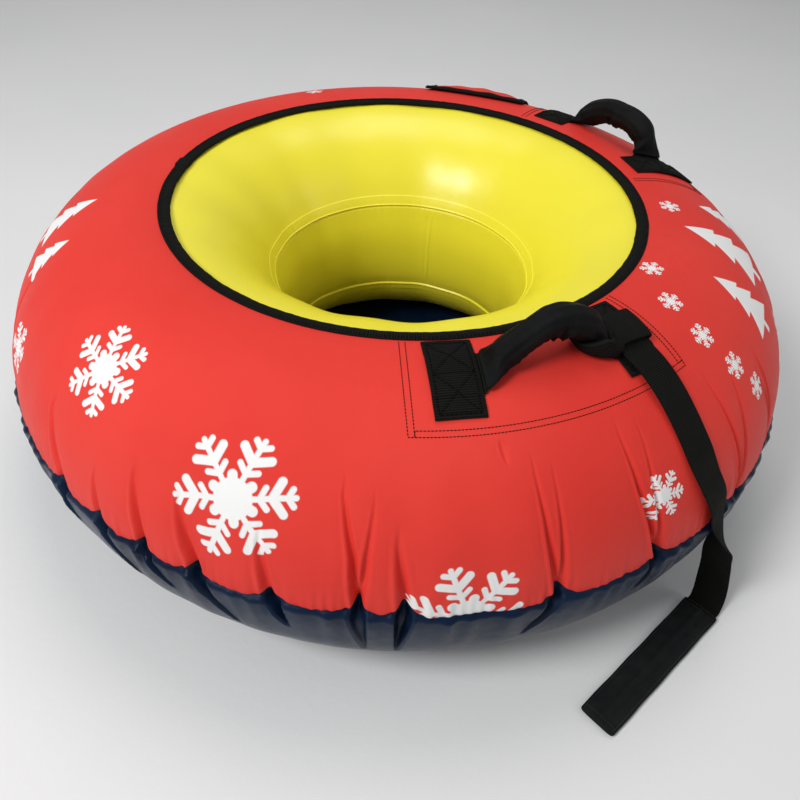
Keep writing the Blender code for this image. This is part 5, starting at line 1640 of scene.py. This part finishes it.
def make_webbing_patch(name, node, frame):
    """Webbing rectangle sewn over the end of a handle's strap, with its stitched crosses."""
    centre, lengthwise, across = [np.array(part) for part in frame]
    half, round_off = PATCH_LENGTH / 2, 0.0006
    along = np.concatenate([[-half], np.linspace(-half + round_off, half - round_off, 130), [half]])
    asides = np.linspace(-PATCH_WIDTH / 2, PATCH_WIDTH / 2, 65)
    middles = centre + lengthwise * along[:, None]
    lifts = patch_lift(along[:, None], asides[None])
    rows, normals = on_cover_rows(middles, np.repeat([across], len(along), 0), asides, lifts)
    walls = patch_wall(along)[:, None] - 0.0007 * stitch_grooves(along[:, None], asides[None])
    walls[[0, -1]] *= 0.55
    mesh = band_mesh(rows, normals * (walls / PATCH_WALL)[..., None], PATCH_WALL)
    patch = piece(name, mesh, webbing, "tube", [node])
    lines = []
    for first, last in PATCH_STITCHES:
        share = np.linspace(0, 1, 30)
        lengths = first[0] + (last[0] - first[0]) * share
        besides = first[1] + (last[1] - first[1]) * share
        lines.append(patch_top_point(frame, lengths, besides, -0.0004))
    stitches = stitch_mesh(lines, 0.0040, share=0.72, thread=0.00072)
    piece(f"{name}_stitches", stitches, grey_thread, "tube")
    return patch


def blend_over_foot(obj):
    """Bakes a piece's placement into its mesh."""
    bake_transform(obj)


def make_handle(prefix, body, radius, patches, foot_shift, rise, powers, seed):
    """A handle with its two patches, its strap, its sleeve and the foam in it."""
    arch = Arch(radius, patches, foot_shift, rise, powers)
    for place, patch in zip(("start", "end"), patches):
        node = f"{prefix}_patch_{place}"
        make_webbing_patch(f"{node}_webbing", node, patch_frame(radius, *patch))
    sleeve = make_grip_sleeve(prefix, arch, seed)
    strap = make_grip_strap(prefix, arch)
    foam = make_foam(prefix, arch)
    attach(foam, body)
    for obj in (sleeve, strap):
        blend_over_foot(obj)
    return arch


LOOP_WALL = 0.0018
LOOP_WIDTH = 0.0355
LOOP_REACH = 0.0240
LOOP_RADIUS = 0.0036
LOOP_LIFT = 0.0045
LOOP_TOP_LIFT = 0.0196
WRAP_START = 0.0030
# How far the wrap stands out aside and below, and above, at distances from the handle's foot
WRAP_PLACES = (0.003, 0.012, 0.020, 0.028, 0.036)
WRAP_BULGES = (0.0235, 0.0250, 0.0232, 0.0200, 0.0180)
WRAP_DROOPS = (0.0045, 0.0130, 0.0190, 0.0190, 0.0180)
WRAP_CROWN_PLACES = (0.003, 0.010, 0.018, 0.025)
WRAP_CROWNS = (0.0165, 0.0125, 0.0115, 0.0140)


def make_leash_fold():
    """The leash's webbing folded back over the front handle's right patch."""
    centre, along, across = patch_frame(FRONT_HANDLE[0], *FRONT_HANDLE[1][1])
    straight = LOOP_REACH - LOOP_RADIUS
    path = [(reach, LOOP_LIFT) for reach in (-0.0200, -0.008, 0.004, 0.015, straight)]
    for degrees in np.linspace(-72, 90, 12):
        turn = math.radians(degrees)
        path.append((straight + LOOP_RADIUS * math.cos(turn), LOOP_LIFT + LOOP_RADIUS * (1 + math.sin(turn))))
    fold_top = LOOP_LIFT + 2 * LOOP_RADIUS
    for share in np.linspace(0.08, 1, 14):
        reach = straight * (1 - share) - 0.0285 * share
        path.append((reach, fold_top + (LOOP_TOP_LIFT - fold_top) * share ** 1.5))
    path = smooth_through(path, 90)
    asides = np.linspace(-LOOP_WIDTH / 2, LOOP_WIDTH / 2, 23)
    rows = []
    for index, (reach, lift) in enumerate(path):
        middle = centre + across * float(reach)
        plan = np.array(middle)[:2] + np.outer(asides, np.array(along)[:2])
        share = index / (len(path) - 1)
        cup = 0.0012 * math.sin(math.pi * min(share * 1.1, 1)) + 0.0070 * float(ease((share - 0.72) / 0.25))
        cup = cup * (asides / (LOOP_WIDTH / 2)) ** 2
        rows.append(on_cover(plan[:, 0], plan[:, 1], lift - cup))
    rows = np.array(rows)
    ups = unit(np.cross(np.gradient(rows, axis=0), np.gradient(rows, axis=1)))
    mesh = band_mesh(rows - ups * LOOP_WALL / 2, ups, LOOP_WALL)
    piece("leash_loop_fold", mesh, strap_webbing, "tube", ["leash_hitch"])


def make_leash_wrap(arch):
    """The leash's turn round the front handle's right foot, slack aside and below."""
    outer, inner = [], []
    for share in np.linspace(0, 1, 26):
        rings = [[], []]
        for turn in ring_turns(96):
            across_part, up_part = math.cos(turn), math.sin(turn)
            distance = WRAP_START + share * (0.0215 - WRAP_START - 0.0120 * up_part)
            point, side, up = [np.array(part) for part in arch.at(arch.length - distance)]
            half_width, half_height = grip_half_sizes(distance, arch)
            bulge = np.interp(distance, WRAP_PLACES, WRAP_BULGES)
            droop = np.interp(distance, WRAP_PLACES, WRAP_DROOPS)
            crown = np.interp(distance, WRAP_CROWN_PLACES, WRAP_CROWNS)
            loose_width = max(half_width, bulge) if across_part > 0 else half_width
            loose_height = max(half_height, crown if up_part > 0 else droop)
            uneven = 0.0005 * math.sin(turn * 2 + distance * 260)
            boxy = [math.copysign(abs(part) ** 0.75, part) for part in (across_part, up_part)]
            for ring, wide, high, grow in (
                (rings[0], loose_width, loose_height, 0.0006 + LOOP_WALL + uneven),
                (rings[1], half_width, half_height, 0.0004),
            ):
                ring.append(point + side * (wide + grow) * boxy[0] + up * (high + grow) * boxy[1])
        outer.append(rings[0])
        inner.append(rings[1])
    mesh = loft_mesh(np.array([*outer, *inner[::-1], outer[0]]), caps=False)
    wrap = piece("leash_loop_wrap", mesh, strap_webbing, None, ["leash_wrap"])
    blend_over_foot(wrap)


front_arch = make_handle("front_handle", "front_grip", *FRONT_HANDLE, seed=5)
make_handle("rear_handle", "rear_grip", *REAR_HANDLE, seed=9)
make_leash_fold()
make_leash_wrap(front_arch)


# Flap over the valve, and the valve

FLAP_ANGLE = 73.0
FLAP_NEAR_RADIUS = 0.346
FLAP_HINGE_RADIUS = 0.445
FLAP_HALF_WIDTH = 0.079
FLAP_WALL = 0.0012
FLAP_HINGE_LIFT = 0.0005
FLAP_EDGE_LIFT = 0.0036
FLAP_DOME = 0.0075
FLAP_BINDING_WIDTH = 0.009
FLAP_HEM_WIDTH = 0.014
FLAP_HEM_WALL = 0.0006
FLAP_HEM_LAP = 0.0006
FLAP_ROUND = 0.0015


def flap_point(reach, aside):
    """Points on the flap's middle surface, with the small waves of its cloth."""
    share = (FLAP_HINGE_RADIUS - reach) / (FLAP_HINGE_RADIUS - FLAP_NEAR_RADIUS)
    lift = FLAP_HINGE_LIFT + (FLAP_EDGE_LIFT - FLAP_HINGE_LIFT) * share
    dome = FLAP_DOME * np.sin(math.pi * share) * (1 - (aside / FLAP_HALF_WIDTH) ** 2)
    bend = cover_height(reach) - cover_height(np.hypot(reach, aside))
    middle = ease(share / 0.12) * ease((1 - share) / 0.1 + 0.2)
    waves = np.sin(aside * 95 + reach * 70 + 1) * np.sin(reach * 120 - aside * 31)
    waves = waves + 0.6 * np.sin(aside * 170 - reach * 90)
    height = cover_height(reach) + lift + dome - bend * share * (2 - share) + 0.0007 * waves * middle
    out, side = np.array(direction(FLAP_ANGLE)), np.array(direction(FLAP_ANGLE + 90))
    points = reach[..., None] * out + aside[..., None] * side
    points[..., 2] = height
    return points


def surface_normals(points):
    """Directions square to a grid of points, upwards."""
    normals = unit(np.cross(np.gradient(points, axis=1), np.gradient(points, axis=0)))
    return normals * np.sign(normals[..., 2:3])


def flap_hem_point(in_by, aside):
    """Points on the middle of the flap's hem, which turns in under the flap from the hinge's axis."""
    out, side = np.array(direction(FLAP_ANGLE)), np.array(direction(FLAP_ANGLE + 90))

    def laid(within):
        plan = (FLAP_HINGE_RADIUS - within)[..., None] * out + aside[..., None] * side
        reach = reach_at_radius(np.hypot(plan[..., 0], plan[..., 1]))
        return cover_point(np.arctan2(plan[..., 1], plan[..., 0]), reach, FLAP_HEM_WALL / 2 + 0.0002)

    hinge = flap_point(np.full(aside.shape, FLAP_HINGE_RADIUS), aside)
    held = 1 - ease(in_by / (0.62 * FLAP_HEM_WIDTH))
    return laid(in_by) + (hinge - laid(np.zeros(aside.shape))) * held[..., None]


def make_flap_hem():
    """The hem stays on the tube. Its outer edge lies on the hinge's axis and meets the flap at any angle."""
    aside = np.linspace(-FLAP_HALF_WIDTH + FLAP_ROUND, FLAP_HALF_WIDTH - FLAP_ROUND, 140)
    in_by = np.linspace(-FLAP_HEM_LAP, FLAP_HEM_WIDTH, 28)
    in_grid, aside_grid = np.meshgrid(in_by, aside, indexing="ij")
    points = flap_hem_point(in_grid, aside_grid)
    normals = surface_normals(points)
    mesh = band_mesh(points - normals * FLAP_HEM_WALL / 2, normals, FLAP_HEM_WALL)
    piece("flap_hinge_hem", mesh, flap_fabric, "tube")
    stitched_row = 22
    spots = points[stitched_row] + normals[stitched_row] * (FLAP_HEM_WALL / 2 + 0.0001)
    stitches = stitch_mesh([(spots, normals[stitched_row])], 0.0034)
    piece("flap_hinge_stitches", stitches, dark_thread, "tube")


def make_flap():
    """The flap's cloth, the tape folded over its three free edges and the tape's stitches."""
    reach = np.linspace(FLAP_NEAR_RADIUS + FLAP_ROUND, FLAP_HINGE_RADIUS, 90)
    aside = np.linspace(-FLAP_HALF_WIDTH + FLAP_ROUND, FLAP_HALF_WIDTH - FLAP_ROUND, 140)
    reach_grid, aside_grid = np.meshgrid(reach, aside, indexing="ij")
    points = flap_point(reach_grid, aside_grid)
    normals = surface_normals(points)
    mesh = band_mesh(points - normals * FLAP_WALL / 2, normals, FLAP_WALL)
    cloth = piece("flap_cloth", mesh, flap_fabric, "flap", ["access_flap"])
    insets = np.array([0.0, 0.0012, 0.004, 0.0075, FLAP_BINDING_WIDTH])
    half_wall = FLAP_WALL / 2 + 0.0015
    heights = np.array([half_wall * 0.55, half_wall, half_wall, half_wall, half_wall - 0.0003])
    ring_insets = np.concatenate([[-0.0004], insets, insets[::-1], [-0.0004]])
    ring_heights = np.concatenate([[0.0003], heights, -heights[::-1] * 0.8, [-0.0003]])
    far = FLAP_HINGE_RADIUS - 0.0042
    rows = []
    count_side, count_near = 60, 100
    for inset in ring_insets:
        half = FLAP_HALF_WIDTH - inset
        near = FLAP_NEAR_RADIUS + inset
        down = np.linspace(far, near, count_side, endpoint=False)
        across = np.linspace(-half, half, count_near, endpoint=False)
        reaches = np.concatenate([down, np.full(count_near, near), np.linspace(near, far, count_side)])
        asides = np.concatenate([np.full(count_side, -half), across, np.full(count_side, half)])
        rows.append(flap_point(reaches, asides))
    points = np.stack(rows, 1)
    points[..., 2] += ring_heights[None]
    tape_mesh = loft_mesh(points)
    trim = piece("flap_edge_tape", tape_mesh, binding_tape, "flap", ["access_flap_binding"])
    inset = 0.0072
    near, side = FLAP_NEAR_RADIUS + inset, FLAP_HALF_WIDTH - inset
    corners = ((far, -side), (near, -side), (near, side), (far, side))
    share = np.linspace(0, 1, 50)
    lines = []
    for first, last in zip(corners, corners[1:]):
        spots = flap_point(first[0] + (last[0] - first[0]) * share, first[1] + (last[1] - first[1]) * share)
        spots[:, 2] += half_wall + 0.0001
        lines.append(upright(spots))
    stitches = piece("flap_edge_stitches", stitch_mesh(lines), grey_thread, "flap")


def finish_valve():
    """The valve's solids stay, in their own plastics."""
    looks = (
        ("valve_base", valve_white, "valve_plastic"), ("valve_insert", valve_white, "valve_plastic"),
        ("valve_membrane", membrane_rubber, "membrane"), ("valve_cap", cap_red, "cap_plastic"),
    )
    for name, material, slot in looks:
        node = frame["nodes"][name]
        node.data.materials.clear()
        node.data.materials.append(material)


make_flap()
make_flap_hem()
finish_valve()
